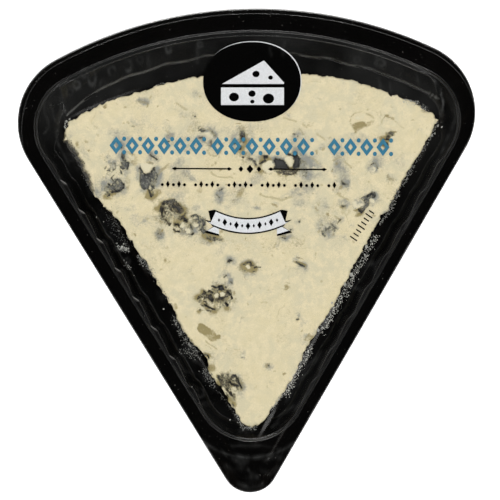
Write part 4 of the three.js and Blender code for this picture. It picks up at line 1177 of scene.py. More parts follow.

# Folds and stretch marks in the film, whose highlights are painted on it as pale lines: (brightness, half
# width, line of pixels).
filmLines = (
    (.05, .6, (400, 60, 412, 65, 425, 72, 436, 82, 441, 92, 443, 103, 442, 113)),
    (.012, .9, (457, 113, 450, 133, 437, 163, 431.7, 176.7, 423.3, 186.7, 416.7, 200, 406.7, 226.7,
     396, 235.3, 389.3, 248.7, 385.3, 255.3, 377.3, 263.3, 374.7, 274, 370.7, 283.3, 364, 291.3, 360, 299.3,
     357.3, 307.3, 353.3, 315.3, 345.3, 322, 341.3, 331.3, 337.3, 339.3, 332, 347.3, 326.7, 355.3, 320, 366,
     314.7, 379.3, 306.7, 392.7, 300, 403.3, 293.3, 414)),
    (.003, .6, (130.7, 274, 148, 299.3, 164, 326, 177.3, 347.3)),
    (.008, .7, (177.3, 363.3, 185.3, 371.3, 198.7, 374, 205.3, 371.3)),
    (.008, .7, (190.7, 356.7, 198.7, 363.3, 206, 368.7)), (.012, 1, (342.7, 292.7, 354.7, 287.3, 364, 291.3)),
    (.012, 1.4, (365, 266, 373, 263.5)), (.012, 1.1, (317, 356, 304, 369, 291, 391)),
    (.012, 1, (322, 352, 315, 362, 300, 380, 286, 402)),
    (.02, .8, (266.7, 416.7, 270.7, 411.3, 277.3, 403.3)), (.014, 1, (280, 416.7, 285.3, 411.3, 293, 406)),
    (.014, 1, (277, 424, 281, 415, 288, 412)), (.012, 1, (272, 428, 277, 422)),
    (.012, .8, (232, 446, 245.3, 446, 261.3, 445.5, 277.3, 448.7, 290.7, 451.3)),
    (.008, 1.5, (148, 55, 149, 70)), (.008, 1.4, (197, 48, 197, 62)), (.012, .7, (378.3, 78, 381.7, 86.7)),
    (.012, .7, (390, 83.3, 391.7, 96.7)), (.01, 1.3, (270, 42, 271, 56)), (.008, 1.2, (284, 42, 283, 55)),
    (.01, .8, (417, 74, 419, 90)), (.01, .8, (44, 103, 44, 113, 48, 120, 49, 127, 44, 133)),
    (.012, .7, (52, 108, 53, 115, 56, 123)), (.012, .7, (57, 128, 57, 140, 61, 150, 68, 163)),
    (.01, .7, (61, 96, 60, 112, 66, 120)), (.008, 1.6, (184, 116.6, 184.2, 117)),
    (.014, 1.6, (233, 458, 240, 463, 247, 461)), (.016, 1.6, (248, 478, 251, 474, 257, 477)),
    (.012, 1.8, (266, 459, 271, 456, 280, 458)), (.01, 1.6, (226, 466, 233, 470, 240, 468)),
    (.01, 1.4, (262, 470, 270, 474, 277, 468)), (.012, 1.2, (238, 484, 250, 488, 262, 485)),
    (.016, 1, (248, 470, 251, 475, 250, 482)),
)
# Rings that drops and the sealing head left, painted on the film as pale highlight rings: (x, y, half width,
# half height, brightness).
filmRings = (
    (168.5, 48.5, 2.6, 4, .022), (200, 44.5, 2.4, 2.6, .02), (92, 77.5, 3.6, 7, .022),
    (76.6, 85, 3.4, 3.4, .024), (84, 73, 3, 4, .014), (112, 71, 3.6, 4, .016), (128, 66, 3.4, 5, .022),
    (140, 60, 3, 3, .008), (380, 63, 4.4, 3, .02), (199, 393, 5, 4.4, .01), (103, 84, 3, 3, .008),
    (357, 60, 3, 3, .008), (206, 404, 3, 1.6, .01), (363, 50, 2.6, 2, .012), (379, 57.5, 2.4, 1.6, .014),
    (70, 92, 3, 3, .01),
)
# Where a thin smear of cheese dulls the film, marked like the marks on the cheese.
filmSmears = (
    (78, 164, 5, 18, -31, .1), (71, 146, 3, 8, -31, .12), (90, 188, 3, 8, -20, .12),
    (104, 214, 6, 12, -35, .05), (112, 230, 9, 14, -35, .07), (122, 248, 7, 4, 0, .3),
    (119, 240, 8, 10, -30, .07), (128, 262, 3, 6, -30, .2), (146, 266, 4, 8, -35, .3),
    (163, 296, 6, 8, -35, .1), (178, 326, 4, 12, -25, .22), (190, 347, 7, 5, 30, .22),
    (184, 352, 5, 4, 0, .16), (197, 358, 5, 3, 0, .12), (207, 376, 5, 6, 30, .22), (214, 387, 4, 5, 30, .16),
    (236, 416, 2.4, 9, -25, .3), (247, 430, 9, 2.2, 5, .25), (372, 236, 3, 8, 31, .1),
    (359, 262, 3, 14, 31, .2), (342, 292, 3, 14, 31, .25), (322, 325, 3, 12, 31, .22),
    (300, 364, 3.4, 16, 31, .25), (424, 108, 6, 4, 20, .3), (96, 103, 6, 3, -30, .12),
    (120, 92, 6, 3, -20, .08), (68, 122, 4, 3, 0, .4), (66, 110, 3, 4, 0, .12), (380, 90, 7, 5, 0, .12),
)


# How many pixels a place lies beyond the seal's round line, and how much it is on the tab.
def beyondSeal(pixelX, pixelY):
    middleX, middleY = film["sealMiddle"]
    distance = np.hypot(pixelX - middleX, pixelY - middleY) - film["sealRadius"]
    return distance, step(*film["tabFrom"], pixelY)


# How far the film stands above its flat level at each place: it sags over the gap beside the cheese,
# rises a little along the seal, and lifts in crumples on the loose tab.
def filmShape(x, y):
    s = film
    pixelX, pixelY = toPhoto(x, y)
    insideCheese = depthInside(cheeseEdge, x, y)
    gap = step(0, 2, depthInside(trayMouth, x, y)) * step(0.5, -1.5, insideCheese)
    fromStill = np.hypot(pixelX - s["stillPixel"][0], pixelY - s["stillPixel"][1])
    sag = s["moatSag"] * (0.7 + 0.5 * cloudNoise(pixelX, pixelY, 40, 2, 91))
    lift = -sag * gap * step(*s["stillReach"], fromStill)
    fromSeal, onTab = beyondSeal(pixelX, pixelY)
    fromSeal = fromSeal * photo["pixelSize"]
    lift = lift + s["sealHeight"] * bell(fromSeal, 0.3) * onTab
    loose = step(0, s["sealWidth"] * 2, fromSeal) * onTab * step(-0.2, 3.5, depthInside(packEdge, x, y))
    crumple = (1 - np.abs(cloudNoise(pixelX, pixelY, 15, 3, 95))) ** 3
    crumple = crumple + 0.6 * (1 - np.abs(cloudNoise(pixelX, pixelY, 7, 2, 99))) ** 4
    lift = lift + loose * (s["tabLift"] + s["tabCrumple"] * (crumple - 0.6))
    return lift + s["uneven"] * cloudNoise(pixelX, pixelY, 26, 3, 97) * (1 - step(0, 1, insideCheese))


# The painted highlights of the folds, the rings, the seal's line and the tab's creases: how pale they make
# the film, by the pixel's distance from each, in broken lines.
def filmMarks(pixelX, pixelY):
    marks = np.zeros(len(pixelX))
    wander = 0.45 * cloudNoise(pixelX, pixelY, 14, 2, 93)
    broken = 0.75 + 0.6 * cloudNoise(pixelX, pixelY, 6, 2, 101)
    for strength, width, line in filmLines:
        distance = distanceToLine(pixelX + wander, pixelY + wander, line)
        marks = np.maximum(marks, strength * bell(distance, width) * broken)
    for ringX, ringY, ringWide, ringHigh, strength in filmRings:
        radius = np.hypot((pixelX - ringX) / ringWide, (pixelY - ringY) / ringHigh)
        marks = np.maximum(marks, strength * bell((radius - 1) * min(ringWide, ringHigh), 0.8) * broken)
    fromSeal, onTab = beyondSeal(pixelX, pixelY)
    marks = np.maximum(marks, film["sealBright"] * bell(fromSeal, 0.7) * onTab * broken)
    creased = step(0.25, 1.0, cloudNoise(pixelX, pixelY, 9, 4, 103)) * step(0, 4, fromSeal) * onTab
    return marks + film["tabBright"] * creased


# The haze that dims the view down into the gap, by the share of the way across it: strongest towards
# the round side, and none round the badge.
def filmHaze(pixelX, pixelY, overGap):
    badge = printed["badge"]
    badgeX = (pixelX - badge["middle"][0]) / badge["halfSize"][0]
    badgeY = (pixelY - badge["middle"][1]) / badge["halfSize"][1]
    filmPaleness = overGap * step(0.98, 1.06, np.hypot(badgeX, badgeY))
    filmPaleness *= 0.85 + 0.5 * cloudNoise(pixelX, pixelY, 30, 3, 45)
    filmPaleness *= 0.3 + 0.85 * step(180, 100, pixelY) - 0.18 * step(230, 150, pixelX) * step(150, 200, pixelY)
    return film["hazeBright"] * filmPaleness


# A closed sheet of rings from the middle of the cheese out to the pack's edge. The lower face keeps
# every third ring and the last one.
def buildFilm():
    s = film
    edge, mouth, curd = (wedgeOutline(shape, s["counts"]) for shape in (packEdge, trayMouth, cheeseEdge))
    inner = curd["point"] - curd["outward"] * s["cheeseInset"]
    middle = inner.mean(0)
    gapShare, flangeShare = np.linspace(0, 1, s["gapRings"]), np.linspace(0, 1, s["flangeRings"])[1:-1]
    flat = [middle + (inner - middle) * part for part in s["middleRings"]]
    flat += [inner + (mouth["point"] - inner) * part for part in gapShare]
    flat += [mouth["point"] + (edge["point"] - mouth["point"]) * part for part in flangeShare]
    flat += [edge["point"] - edge["outward"] * inset for inset in s["edgeInsets"]]
    flat = np.array(flat)
    height = filmLevel + filmShape(flat[..., 0], flat[..., 1])
    lower = np.concatenate([flat, height[..., None]], -1)
    upper = lower + [0, 0, s["thickness"]]
    kept = np.append(np.arange(0, len(flat) - 1, 3), len(flat) - 1)
    vertices, faces = ringSolid(np.concatenate([lower[kept], upper[::-1]]))
    pixelX, pixelY = toPhoto(vertices[:, 0], vertices[:, 1])
    overGap = np.zeros(len(flat))
    first = len(s["middleRings"])
    overGap[first:first + len(gapShare)] = step(0, 0.25, gapShare) * step(1, 0.97, gapShare)
    overGap = np.repeat(np.concatenate([overGap[kept], overGap[::-1]]), flat.shape[1])
    # The paste field adds the haze over the gap and, at half strength, painted highlights of the film's
    # folds, rings, seal line and tab creases.
    filmPaleness = filmHaze(pixelX, pixelY, np.append(overGap, [0, 0])) + 0.5 * filmMarks(pixelX, pixelY)
    smear = markField(pixelX, pixelY, filmSmears, 0.1, 1.5, 2.0, 43)
    return vertices, faces, dict(smear=smear, filmPaleness=filmPaleness)


# Clear film that mirrors at its front faces, by Fresnel, under a thin paste of smears, haze and painted
# highlights.
def filmFinish():
    material, tree, shader, place = newMaterial("clear lidding film", Roughness=0.035, Metallic=1.0)
    shader.inputs["Base Color"].default_value = (1, 1, 1, 1)
    clear = addNode(tree, "ShaderNodeBsdfTransparent", {"Color": (0.985, 0.987, 0.985, 1)})
    paste = addNode(tree, "ShaderNodeBsdfPrincipled", {"Roughness": 0.5, "Base Color": (0.42, 0.43, 0.42, 1)})
    mirrored = addNode(tree, "ShaderNodeFresnel", {"IOR": 1.48}).outputs["Fac"]
    inside = addNode(tree, "ShaderNodeNewGeometry").outputs["Backfacing"]
    outside = arithmetic(tree, "SUBTRACT", 1.0, inside)
    mirrored = arithmetic(tree, "MULTIPLY", mirrored, 1.7)
    gloss = arithmetic(tree, "MULTIPLY", mirrored, outside, clamp=True)
    cloudy = rampField(tree, noiseField(tree, place, 1500, 3, 0.6), 0.38, 0.72)
    smear = arithmetic(tree, "MULTIPLY", meshField(tree, "smear"), 0.15)
    smear = arithmetic(tree, "MULTIPLY", smear, cloudy)
    # the paste's amount: smears, haze and painted highlights
    thick = arithmetic(tree, "ADD", smear, arithmetic(tree, "MULTIPLY", meshField(tree, "filmPaleness"), 2.0))
    both = addNode(tree, "ShaderNodeMixShader", {0: gloss, 1: clear.outputs[0], 2: shader.outputs[0]})
    whole = addNode(tree, "ShaderNodeMixShader", {0: thick, 1: both.outputs[0], 2: paste.outputs[0]})
    tree.links.new(whole.outputs[0], tree.nodes["Material Output"].inputs["Surface"])
    return material


# The print: thin plates of ink under the film, plain shapes in place of words and pictures. Thickness
# and gaps are in millimetres, places and sizes in pixels.
printed = dict(
    thickness=0.006, layerStep=0.016, firstGap=0.01, turn=0.4, turnPixel=(250, 160),
    badge=dict(middle=(251.9, 81.8), halfSize=(48.8, 39.8), power=2.12, rimShift=0.8),
    wedgeTop=((222, 84), (264, 60.5), (284, 82.5), (284, 84)),
    wedgeFace=((221, 87.5), (284, 87.5), (284, 105), (221, 105)),
    wedgeHoles=((234, 97, 4.4), (252, 93.6, 3.2), (268.5, 98.6, 5.0), (252.4, 101.6, 1.9), (256, 74, 3.2),
                (270.6, 77.6, 2.1)),
    groups=((109, 205, 6), (210, 313, 6), (327, 392, 4)), groupTop=137.4, groupBottom=155.2,
    rules=((175, 229), (271, 324)), ruleHeight=169, ruleHalf=0.65,
    lineHeight=184.6, lineStart=162.5, linePitch=5.55, lineMarks=32,
    ribbon=dict(
        ends=(213, 283), marks=(219, 277), archMiddle=248, archHalf=35, archTop=217.5, archDepth=8.5,
        outline=16.0, width=13.2, tails=((-1, 204, 214, 219), (1, 292, 282, 277)),
    ),
    ticks=dict(start=(353.5, 238.5), end=(371.5, 212), count=8, half=0.6),
    colours=dict(black=(0.0007, 0.0007, 0.0007), blue=(0.05, 0.19, 0.29), pale=(0.66, 0.67, 0.69)),
)
inks = dict(black=[], blue=[], pale=[])


# A thin closed plate from a grid of pixels (rows, columns, 2), in one of the layers of ink under
# the film: its top follows the film's lower face, and it is closed by a strip all round.
def addPlate(ink, grid, layer, closed=False):
    grid = np.array(grid, float)
    rows, columns = grid.shape[:2]
    flat = fromPhoto(grid[..., 0], grid[..., 1])
    gap = printed["firstGap"] + layer * printed["layerStep"]
    top = filmLevel + filmShape(flat[..., 0], flat[..., 1]) - gap
    upper = np.concatenate([flat, top[..., None]], -1).reshape(-1, 3)
    lower = upper - [0, 0, printed["thickness"]]
    count = rows * columns
    across = np.arange(columns if closed else columns - 1)
    row, column = np.meshgrid(np.arange(rows - 1), across, indexing="ij")
    a, b = (row * columns + column).ravel(), (row * columns + (column + 1) % columns).ravel()
    quads = np.stack([a, b, b + columns, a + columns], 1)
    first, second = flat[0, 1] - flat[0, 0], flat[1, 0] - flat[0, 0]
    up = first[0] * second[1] - first[1] * second[0] > 0
    faces = [quads if up else quads[:, ::-1], (quads[:, ::-1] if up else quads) + count]
    if closed:
        place = np.arange(columns)
        loops = [np.append(place, 0), np.append(place, 0)[::-1] + (rows - 1) * columns]
    else:
        loops = [np.concatenate([
            np.arange(columns), np.arange(1, rows) * columns + columns - 1,
            (rows - 1) * columns + np.arange(columns - 1)[::-1], np.arange(rows - 1)[::-1] * columns,
        ])]
    for loop in loops:
        strip = np.stack([loop[1:], loop[:-1], loop[:-1] + count, loop[1:] + count], 1)
        faces.append(strip if up else strip[:, ::-1])
    inks[ink].append((np.concatenate([upper, lower]), np.concatenate(faces)))


# Pixels turned about a pixel of the print, which lies a little turned on the pack.
def turned(points):
    points = np.array(points, float)
    angle = math.radians(printed["turn"])
    cosine, sine = math.cos(angle), math.sin(angle)
    right, down = points[..., 0] - printed["turnPixel"][0], points[..., 1] - printed["turnPixel"][1]
    return np.stack([right * cosine - down * sine, right * sine + down * cosine], -1) + printed["turnPixel"]


# A disc or a squarer round: a square grid drawn out to the round by the squares of its two sides.
def roundGrid(middle, halfSize, power=2.0, count=9):
    u, v = np.meshgrid(np.linspace(-1, 1, count), np.linspace(-1, 1, count), indexing="ij")
    x, y = u * np.sqrt(1 - 0.5 * v * v), v * np.sqrt(1 - 0.5 * u * u)
    radius, angle = np.hypot(x, y), np.arctan2(y, x)
    swell = (np.abs(np.cos(angle)) ** power + np.abs(np.sin(angle)) ** power) ** (-1 / power)
    x, y = halfSize[0] * radius * swell * np.cos(angle), halfSize[1] * radius * swell * np.sin(angle)
    return np.stack([middle[0] + x, middle[1] + y], -1)


# A plain four-sided shape by its corners, in turn.
def quadGrid(a, b, c, d):
    return np.array([[a, b], [d, c]], float)


# A lozenge by its middle and half sizes.
def lozenge(x, y, halfWidth, halfHeight):
    return quadGrid((x, y - halfHeight), (x + halfWidth, y), (x, y + halfHeight), (x - halfWidth, y))


# A band along a line of pixels: the line moved to both sides by half its width.
def bandGrid(line, width):
    line = np.array(line, float)
    ahead = np.gradient(line, axis=0)
    side = np.stack([-ahead[:, 1], ahead[:, 0]], 1) / np.hypot(*ahead.T)[:, None]
    return np.stack([line - side * width / 2, line + side * width / 2])


# A black badge with a thin pale rim, and on it a plain wedge of cheese: its top, its cut face and a few
# holes.
def drawBadge():
    p, badge = printed, printed["badge"]
    addPlate("black", roundGrid(badge["middle"], badge["halfSize"], badge["power"], 41), 2)
    shifted = badge["middle"][0] + badge["rimShift"], badge["middle"][1] - badge["rimShift"]
    addPlate("pale", roundGrid(shifted, badge["halfSize"], badge["power"], 41), 3)
    addPlate("pale", quadGrid(*p["wedgeTop"]), 1)
    addPlate("pale", quadGrid(*p["wedgeFace"]), 1)
    for x, y, radius in p["wedgeHoles"]:
        addPlate("black", roundGrid((x, y), (radius * 1.12, radius)), 0)


# Blue lozenges with open middles, each followed by two dots, in three groups.
def drawGroups():
    top, bottom = printed["groupTop"], printed["groupBottom"]
    middle, half = 0.5 * (top + bottom), 0.5 * (bottom - top)
    corners = np.array([(0, -1), (1, 0), (0, 1), (-1, 0)])
    for start, end, count in printed["groups"]:
        pitch = (end - start) / count
        for index in range(count):
            x = start + (index + 0.44) * pitch
            ring = [corners * size + (x, middle) for size in ((6.6, half), (2.4, 3.4))]
            addPlate("blue", turned(ring), 1, closed=True)
            for y in (top + 2.2, bottom - 2.2):
                addPlate("blue", turned(roundGrid((x + 0.5 * pitch, y), (2.0, 2.2), 2, 5)), 1)


# Rules with pointed ends, three small lozenges between them, and below them lozenges and dots in groups
# of five.
def drawLines():
    p, y = printed, printed["ruleHeight"]
    top, bottom = y - p["ruleHalf"], y + p["ruleHalf"]
    for start, end in p["rules"]:
        addPlate("black", turned(quadGrid((start, top), (end, top), (end, bottom), (start, bottom))), 1)
        for x in (start, end):
            addPlate("black", turned(lozenge(x, y, 3.0, 1.7)), 0)
    for x, size in ((241, 3.0), (250, 4.2), (259, 3.0)):
        addPlate("black", turned(lozenge(x, y, size * 0.8, size)), 1)
    y = p["lineHeight"]
    for index in range(p["lineMarks"]):
        if index % 6 < 5:
            x = p["lineStart"] + p["linePitch"] * index
            shape = lozenge(x, y, 1.9, 3.4) if index % 2 else roundGrid((x, y + 0.6), (1.5, 1.5), 2, 5)
            addPlate("black", turned(shape), 1)


# The middle line of the ribbon at a pixel across: a parabola that is lowest in its middle.
def ribbonArch(x):
    r = printed["ribbon"]
    return r["archTop"] + r["archDepth"] * (1 - ((x - r["archMiddle"]) / r["archHalf"]) ** 2)


# A plain ribbon: a curved band with two notched tails behind it, each of two leaves, and a row of
# lozenges. The pale parts lie over slightly larger black ones.
def drawRibbon():
    r = printed["ribbon"]
    for side, outer, notch, inner in r["tails"]:
        leaves = (
            ("black", 3, outer, notch, 219.5, 223, 236, 232.5),
            ("pale", 2, outer - side * 3.3, notch - side * 1.2, 221.6, 224.4, 234.2, 230.6),
        )
        for ink, layer, tip, cut, tipTop, innerTop, innerBottom, tipBottom in leaves:
            addPlate(ink, quadGrid((tip, tipTop), (inner, innerTop), (inner, 229.5), (cut, 226)), layer)
            addPlate(ink, quadGrid((cut, 226), (inner, 229.5), (inner, innerBottom), (tip, tipBottom)), layer)
    x = np.linspace(*r["ends"], 25)
    line = np.stack([x, ribbonArch(x)], 1)
    wide = np.concatenate([[line[0] - (1.3, -0.6)], line, [line[-1] + (1.3, 0.6)]])
    addPlate("black", bandGrid(wide, r["outline"]), 1)
    addPlate("pale", bandGrid(line, r["width"]), 0)
    for index, x in enumerate(np.linspace(*r["marks"], 11)):
        half = 3.8 if index % 2 else 2.0
        addPlate("black", lozenge(x, ribbonArch(x), half * 0.62, half), -0.4)


# Short bars side by side near the right edge, every third one longer.
def drawTicks():
    t = printed["ticks"]
    start, end = np.array(t["start"]), np.array(t["end"])
    along = (end - start) / np.hypot(*(end - start))
    side, half = np.array([-along[1], along[0]]), along * t["half"]
    for index in range(t["count"]):
        middle = start + (end - start) * index / (t["count"] - 1)
        length = 3.0 if index % 3 else 4.2
        a, b = middle - side * length, middle + side * length
        addPlate("black", quadGrid(a - half, b - half, b + half, a + half), 1)


# Glossy ink with a fine grain, a little paler here and there.
def inkFinish(ink):
    material, tree, shader, place = newMaterial(ink + " ink", Roughness=0.07)
    colour = printed["colours"][ink]
    lighter = tuple(value * 1.18 + 0.001 for value in colour)
    tint = mixColours(tree, grainMask(tree, place, 3500, 2, 0.5, 0.3, 0.7), (*colour, 1), (*lighter, 1))
    tree.links.new(tint, shader.inputs["Base Color"])
    return material


# All plates of one ink become one piece.
def buildPrint():
    drawBadge()
    drawGroups()
    drawLines()
    drawRibbon()
    drawTicks()
    for ink, plates in inks.items():
        vertices, faces, offset = [], [], 0
        for plateVertices, plateFaces in plates:
            vertices.append(plateVertices)
            faces += (plateFaces + offset).tolist()
            offset += len(plateVertices)
        makePiece("print_" + ink, np.concatenate(vertices), faces, inkFinish(ink), smooth=False)


# Crumbs: grains of cheese pressed between the film and the cheese's edges.
crumbs = dict(seed=7, bandSpread=0.7, lumpGrains=9, lumpSpread=1.3, filmGap=0.02, flatness=0.75)

# Bands of grains: a line of pixels, the spread across it, how many, their half size in mm and how pale.
crumbBands = (
    ((377, 236, 369, 249, 354, 276, 348, 287, 333, 313, 321, 333), 2.6, 640, 0.13, 1),
    ((312, 346, 299, 371, 285, 395), 2.6, 360, 0.13, 1), ((283, 393, 272, 409), 1.2, 90, 0.12, .8),
    ((438, 122, 428, 142, 414, 166), 1.3, 130, 0.12, .5),
    ((414, 166, 399, 190, 389, 212), 2.0, 260, 0.13, .45), ((389, 212, 380, 224), 1.4, 60, 0.13, .5),
    ((404, 100, 418, 104, 428, 110), 2.2, 110, 0.13, .7), ((66, 120, 65, 128), 1.6, 26, 0.16, .8),
    ((70, 142, 80, 162, 90, 186), 1.8, 190, 0.13, .12), ((108, 214, 118, 232, 128, 246), 4.6, 170, 0.11, .1),
    ((118, 246, 127, 250), 2.6, 70, 0.2, .5), ((138, 256, 147, 266, 153, 274), 2.4, 170, 0.12, .42),
    ((124, 262, 130, 268), 2.0, 26, 0.14, .5), ((154, 276, 172, 306), 1.6, 90, 0.11, .2),
    ((174, 318, 186, 342, 197, 352), 2.4, 240, 0.12, .5), ((182, 350, 200, 358), 3.6, 90, 0.13, .4),
    ((204, 368, 214, 386), 3.0, 150, 0.13, .3), ((216, 388, 236, 416), 1.2, 70, 0.1, .25),
    ((236, 414, 243, 428, 256, 428), 1.6, 150, 0.12, .6), ((154, 86, 166, 83), 0.8, 20, 0.12, .8),
    ((96, 105, 84, 113), 1.2, 14, 0.1, .7),
)
# Single larger crumbs: (x, y, half size in mm).
crumbLumps = (
    (66.5, 121.5, 0.3), (69.5, 119, 0.24), (122, 247, 0.34), (126, 249.5, 0.28), (163.5, 309, 0.22),
    (366.5, 246.5, 0.42), (351, 274, 0.5), (345, 285, 0.45), (318, 330, 0.42), (332, 303, 0.3),
    (411, 100.4, 0.26), (418, 101.6, 0.26), (438, 125.6, 0.22), (442, 127, 0.24), (435, 133.4, 0.22),
    (432, 135, 0.24), (192, 387, 0.12), (230, 420, 0.16), (134, 275.6, 0.12), (96.5, 217, 0.12),
    (103.6, 221.6, 0.12), (119, 231, 0.14),
)


# The 12 corners of a regular 20-sided solid of radius 1, and its faces: the triples of near corners,
# each turned to face outwards.
def roundGrain():
    golden = (1 + math.sqrt(5)) / 2
    corners = np.array([(0, a, b * golden) for a in (-1, 1) for b in (-1, 1)])
    corners = np.concatenate([corners, corners[:, [2, 0, 1]], corners[:, [1, 2, 0]]]) / math.hypot(1, golden)
    distance = np.linalg.norm(corners[:, None] - corners[None], axis=-1)
    near = distance < np.sort(distance[0])[1] * 1.1
    a, b, c = np.meshgrid(*[np.arange(12)] * 3, indexing="ij")
    a, b, c = (index[(a < b) & (b < c) & near[a, b] & near[b, c] & near[a, c]] for index in (a, b, c))
    normal = np.cross(corners[b] - corners[a], corners[c] - corners[a])
    outwards = (normal * corners[a]).sum(1) > 0
    return corners, np.stack([a, np.where(outwards, b, c), np.where(outwards, c, b)], 1)


# Every grain is a small round of 20 faces, squashed and turned at random, all made at once just under
# the film.
def buildCrumbs():
    s = crumbs
    random = np.random.default_rng(s["seed"])
    places, sizes, paleness = [], [], []
    for line, spread, count, size, pale in crumbBands:
        share = random.random(count)
        places.append(evenly(line, share) + random.normal(0, spread, (count, 2)) * s["bandSpread"])
        sizes.append(size * random.uniform(0.35, 1.0, count) ** 1.4 * 1.3)
        paleness.append(pale * random.uniform(0.3, 1.3, count))
    for x, y, size in crumbLumps:
        places.append(np.array([[x, y]]) + random.normal(0, size * s["lumpSpread"], (s["lumpGrains"], 2)))
        sizes.append(size * random.uniform(0.4, 0.9, s["lumpGrains"]))
        paleness.append(random.uniform(0.4, 0.8, s["lumpGrains"]))
    places, sizes, paleness = np.concatenate(places), np.concatenate(sizes), np.concatenate(paleness)
    corners, triangles = roundGrain()
    count = len(sizes)
    turn = random.uniform(0, 2 * math.pi, count)
    stretch = random.uniform(0.65, 1.25, (count, 3)) * [1, 1, s["flatness"]]
    rough = random.uniform(0.8, 1.15, (count, 12, 1))
    shape = corners[None] * stretch[:, None] * sizes[:, None, None] * rough
    cosine, sine = np.cos(turn)[:, None], np.sin(turn)[:, None]
    middle = fromPhoto(places[:, 0], places[:, 1])
    ceiling = filmLevel + filmShape(middle[:, 0], middle[:, 1]) - s["filmGap"]
    vertices = np.stack([
        shape[..., 0] * cosine - shape[..., 1] * sine + middle[:, :1],
        shape[..., 0] * sine + shape[..., 1] * cosine + middle[:, 1:],
        shape[..., 2] + (ceiling - shape[..., 2].max(1))[:, None],
    ], -1)
    faces = (triangles[None] + 12 * np.arange(count)[:, None, None]).reshape(-1, 3)
    return vertices.reshape(-1, 3), faces.tolist(), dict(pale=np.repeat(paleness, 12))


# Grains from nearly black, where they lie in the shade, to pale curd.
def crumbFinish():
    material, tree, shader, place = newMaterial("cheese crumbs", Roughness=0.5)
    tint = mixColours(tree, meshField(tree, "pale"), (0.02, 0.021, 0.022, 1), (0.60, 0.60, 0.55, 1))
    tree.links.new(tint, shader.inputs["Base Color"])
    return material


# The room: a pale floor, a pale dome that is dark overhead, where the camera stands, a bright ring round
# the dark, and four soft lamps. A stop is the height of a direction, from 0 at the side to 1 straight up.
room = dict(
    imagePixels=500, sensorWidth=36, floorHalf=1.5, floorGlow=0.55,
    domeStrength=0.775, ringStrength=1.67, ringLeast=0.26,
    domeStops=(
        (0.0, (0.50, 0.50, 0.50)), (0.35, (0.66, 0.66, 0.66)), (0.6, (0.78, 0.78, 0.78)),
        (0.9, (0.74, 0.74, 0.74)), (0.975, (0.30, 0.28, 0.26)), (0.988, (0.035, 0.026, 0.020)),
        (0.996, (0.008, 0.007, 0.006)), (1.0, (0.006, 0.006, 0.006)),
    ),
    ringStops=(
        (0.86, (0, 0, 0)), (0.92, (1, 1, 0.99)), (0.972, (1, 1, 0.99)), (0.985, (0, 0, 0)), (1.0, (0, 0, 0)),
    ),
    lampDistance=0.9,
    # name, azimuth from +X, elevation, width, height, watts, colour
    lamps=(
        ("topSoftbox", 97, 62, 0.36, 0.22, 2.46, (1.0, 0.99, 0.97)),
        ("bottomSoftbox", 264, 60, 0.34, 0.2, 1.4, (1.0, 0.99, 0.97)),
        ("leftSoftbox", 176, 42, 0.4, 0.3, 0.53, (0.98, 0.99, 1.0)),
        ("rightSoftbox", 12, 42, 0.4, 0.3, 0.62, (1.0, 0.98, 0.95)),
    ),
)


# The camera looks straight down on the pixel in the middle of the photo, from its height.
def placeCamera(scene):
    camera = bpy.data.objects.new("camera", bpy.data.cameras.new("camera"))
    scene.collection.objects.link(camera)
    middle = fromPhoto(*photo["middlePixel"])
    camera.location = (middle[0] * mm, middle[1] * mm, (flangeTop + photo["cameraHeight"]) * mm)
    camera.rotation_euler = (0, 0, -photo["turn"])
    camera.data.sensor_width = room["sensorWidth"]
    photoWidth = room["imagePixels"] * photo["pixelSize"]
    camera.data.lens = room["sensorWidth"] * photo["cameraHeight"] / photoWidth
    scene.camera = camera


# A pale floor that glows a little, so that the pack's shadow stays as faint as in the photo.
def layFloor(scene):
    mesh, size = bpy.data.meshes.new("floor"), room["floorHalf"]
    corners = [(-size, -size, 0), (size, -size, 0), (size, size, 0), (-size, size, 0)]
    mesh.from_pydata(corners, [], [(0, 1, 2, 3)])
    material, tree, shader, place = newMaterial("pale floor", Roughness=0.8)
    shader.inputs["Base Color"].default_value = (0.93, 0.93, 0.93, 1)
    shader.inputs["Specular IOR Level"].default_value = 0.1
    shader.inputs["Emission Color"].default_value = (1, 1, 1, 1)
    shader.inputs["Emission Strength"].default_value = room["floorGlow"]
    mesh.materials.append(material)
    floor = bpy.data.objects.new("floor", mesh)
    scene.collection.objects.link(floor)


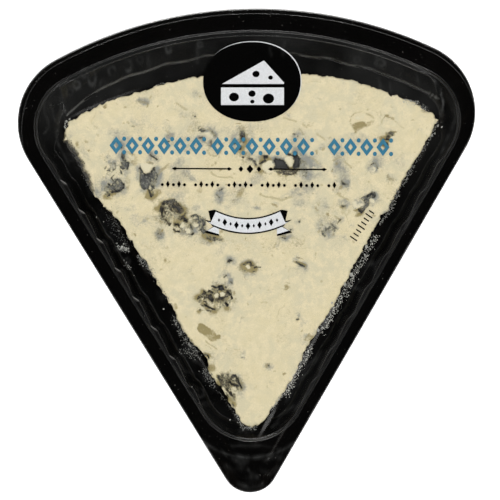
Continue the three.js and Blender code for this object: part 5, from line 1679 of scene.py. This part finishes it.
# The dome and the ring. The ring is brightest towards the pack's round side and its tip: its strength
# goes with the square of the direction's lengthways share.
def lightDome(scene):
    world = bpy.data.worlds.new("studio")
    world.use_nodes = True
    scene.world = world
    tree = world.node_tree
    tree.nodes.clear()
    direction = addNode(tree, "ShaderNodeTexCoord").outputs["Generated"]
    parts = addNode(tree, "ShaderNodeSeparateXYZ", {"Vector": direction}).outputs

    def heightRamp(stops):
        ramp = addNode(tree, "ShaderNodeValToRGB", {"Fac": parts["Z"]})
        while len(ramp.color_ramp.elements) < len(stops):
            ramp.color_ramp.elements.new(0.5)
        for element, (position, colour) in zip(ramp.color_ramp.elements, stops):
            element.position = position
            element.color = (*colour, 1)
        return ramp.outputs["Color"]

    dome, ring = heightRamp(room["domeStops"]), heightRamp(room["ringStops"])
    lengthways = arithmetic(tree, "MULTIPLY", parts["Y"], parts["Y"])
    sideways = arithmetic(tree, "MULTIPLY", parts["X"], parts["X"])
    both = arithmetic(tree, "ADD", arithmetic(tree, "ADD", lengthways, sideways), 0.0001)
    share = arithmetic(tree, "DIVIDE", lengthways, both)
    strength = arithmetic(tree, "MULTIPLY", share, room["ringStrength"])
    strength = arithmetic(tree, "ADD", strength, room["ringLeast"])
    domeLight = addNode(tree, "ShaderNodeBackground", {"Color": dome, "Strength": room["domeStrength"]})
    ringLight = addNode(tree, "ShaderNodeBackground", {"Color": ring, "Strength": strength})
    total = addNode(tree, "ShaderNodeAddShader", {0: domeLight.outputs[0], 1: ringLight.outputs[0]})
    addNode(tree, "ShaderNodeOutputWorld", {"Surface": total.outputs[0]})


# Soft lamps on a sphere round the pack, each turned to its middle.
def hangLamps(scene):
    for name, azimuth, elevation, width, height, power, colour in room["lamps"]:
        data = bpy.data.lights.new(name, "AREA")
        data.shape = "RECTANGLE"
        data.size, data.size_y, data.energy, data.color = width, height, power, colour
        lamp = bpy.data.objects.new(name, data)
        scene.collection.objects.link(lamp)
        turn, rise = math.radians(azimuth), math.radians(elevation)
        direction = math.cos(turn) * math.cos(rise), math.sin(turn) * math.cos(rise), math.sin(rise)
        lamp.location = [part * room["lampDistance"] for part in direction]
        lamp.rotation_euler = (0.5 * math.pi - rise, 0, turn + 0.5 * math.pi)


scene = bpy.context.scene
scene.view_settings.view_transform = "Standard"
placeCamera(scene)
layFloor(scene)
lightDome(scene)
hangLamps(scene)
print("room ready")

trayVertices, trayFaces, trayFields = buildTray()
makePiece("formed_tray", trayVertices, trayFaces, trayFinish(), ["tray"], trayFields)
cheeseVertices, cheeseFaces, cheeseFields = buildCheese()
makePiece("cheese_wedge", cheeseVertices, cheeseFaces, cheeseFinish(), ["cheese"], cheeseFields)
filmVertices, filmFaces, filmFields = buildFilm()
makePiece("lidding_film", filmVertices, filmFaces, filmFinish(), ["lid_film"], filmFields)
buildPrint()
crumbVertices, crumbFaces, crumbFields = buildCrumbs()
makePiece("cheese_crumbs", crumbVertices, crumbFaces, crumbFinish(), (), crumbFields, smooth=False)
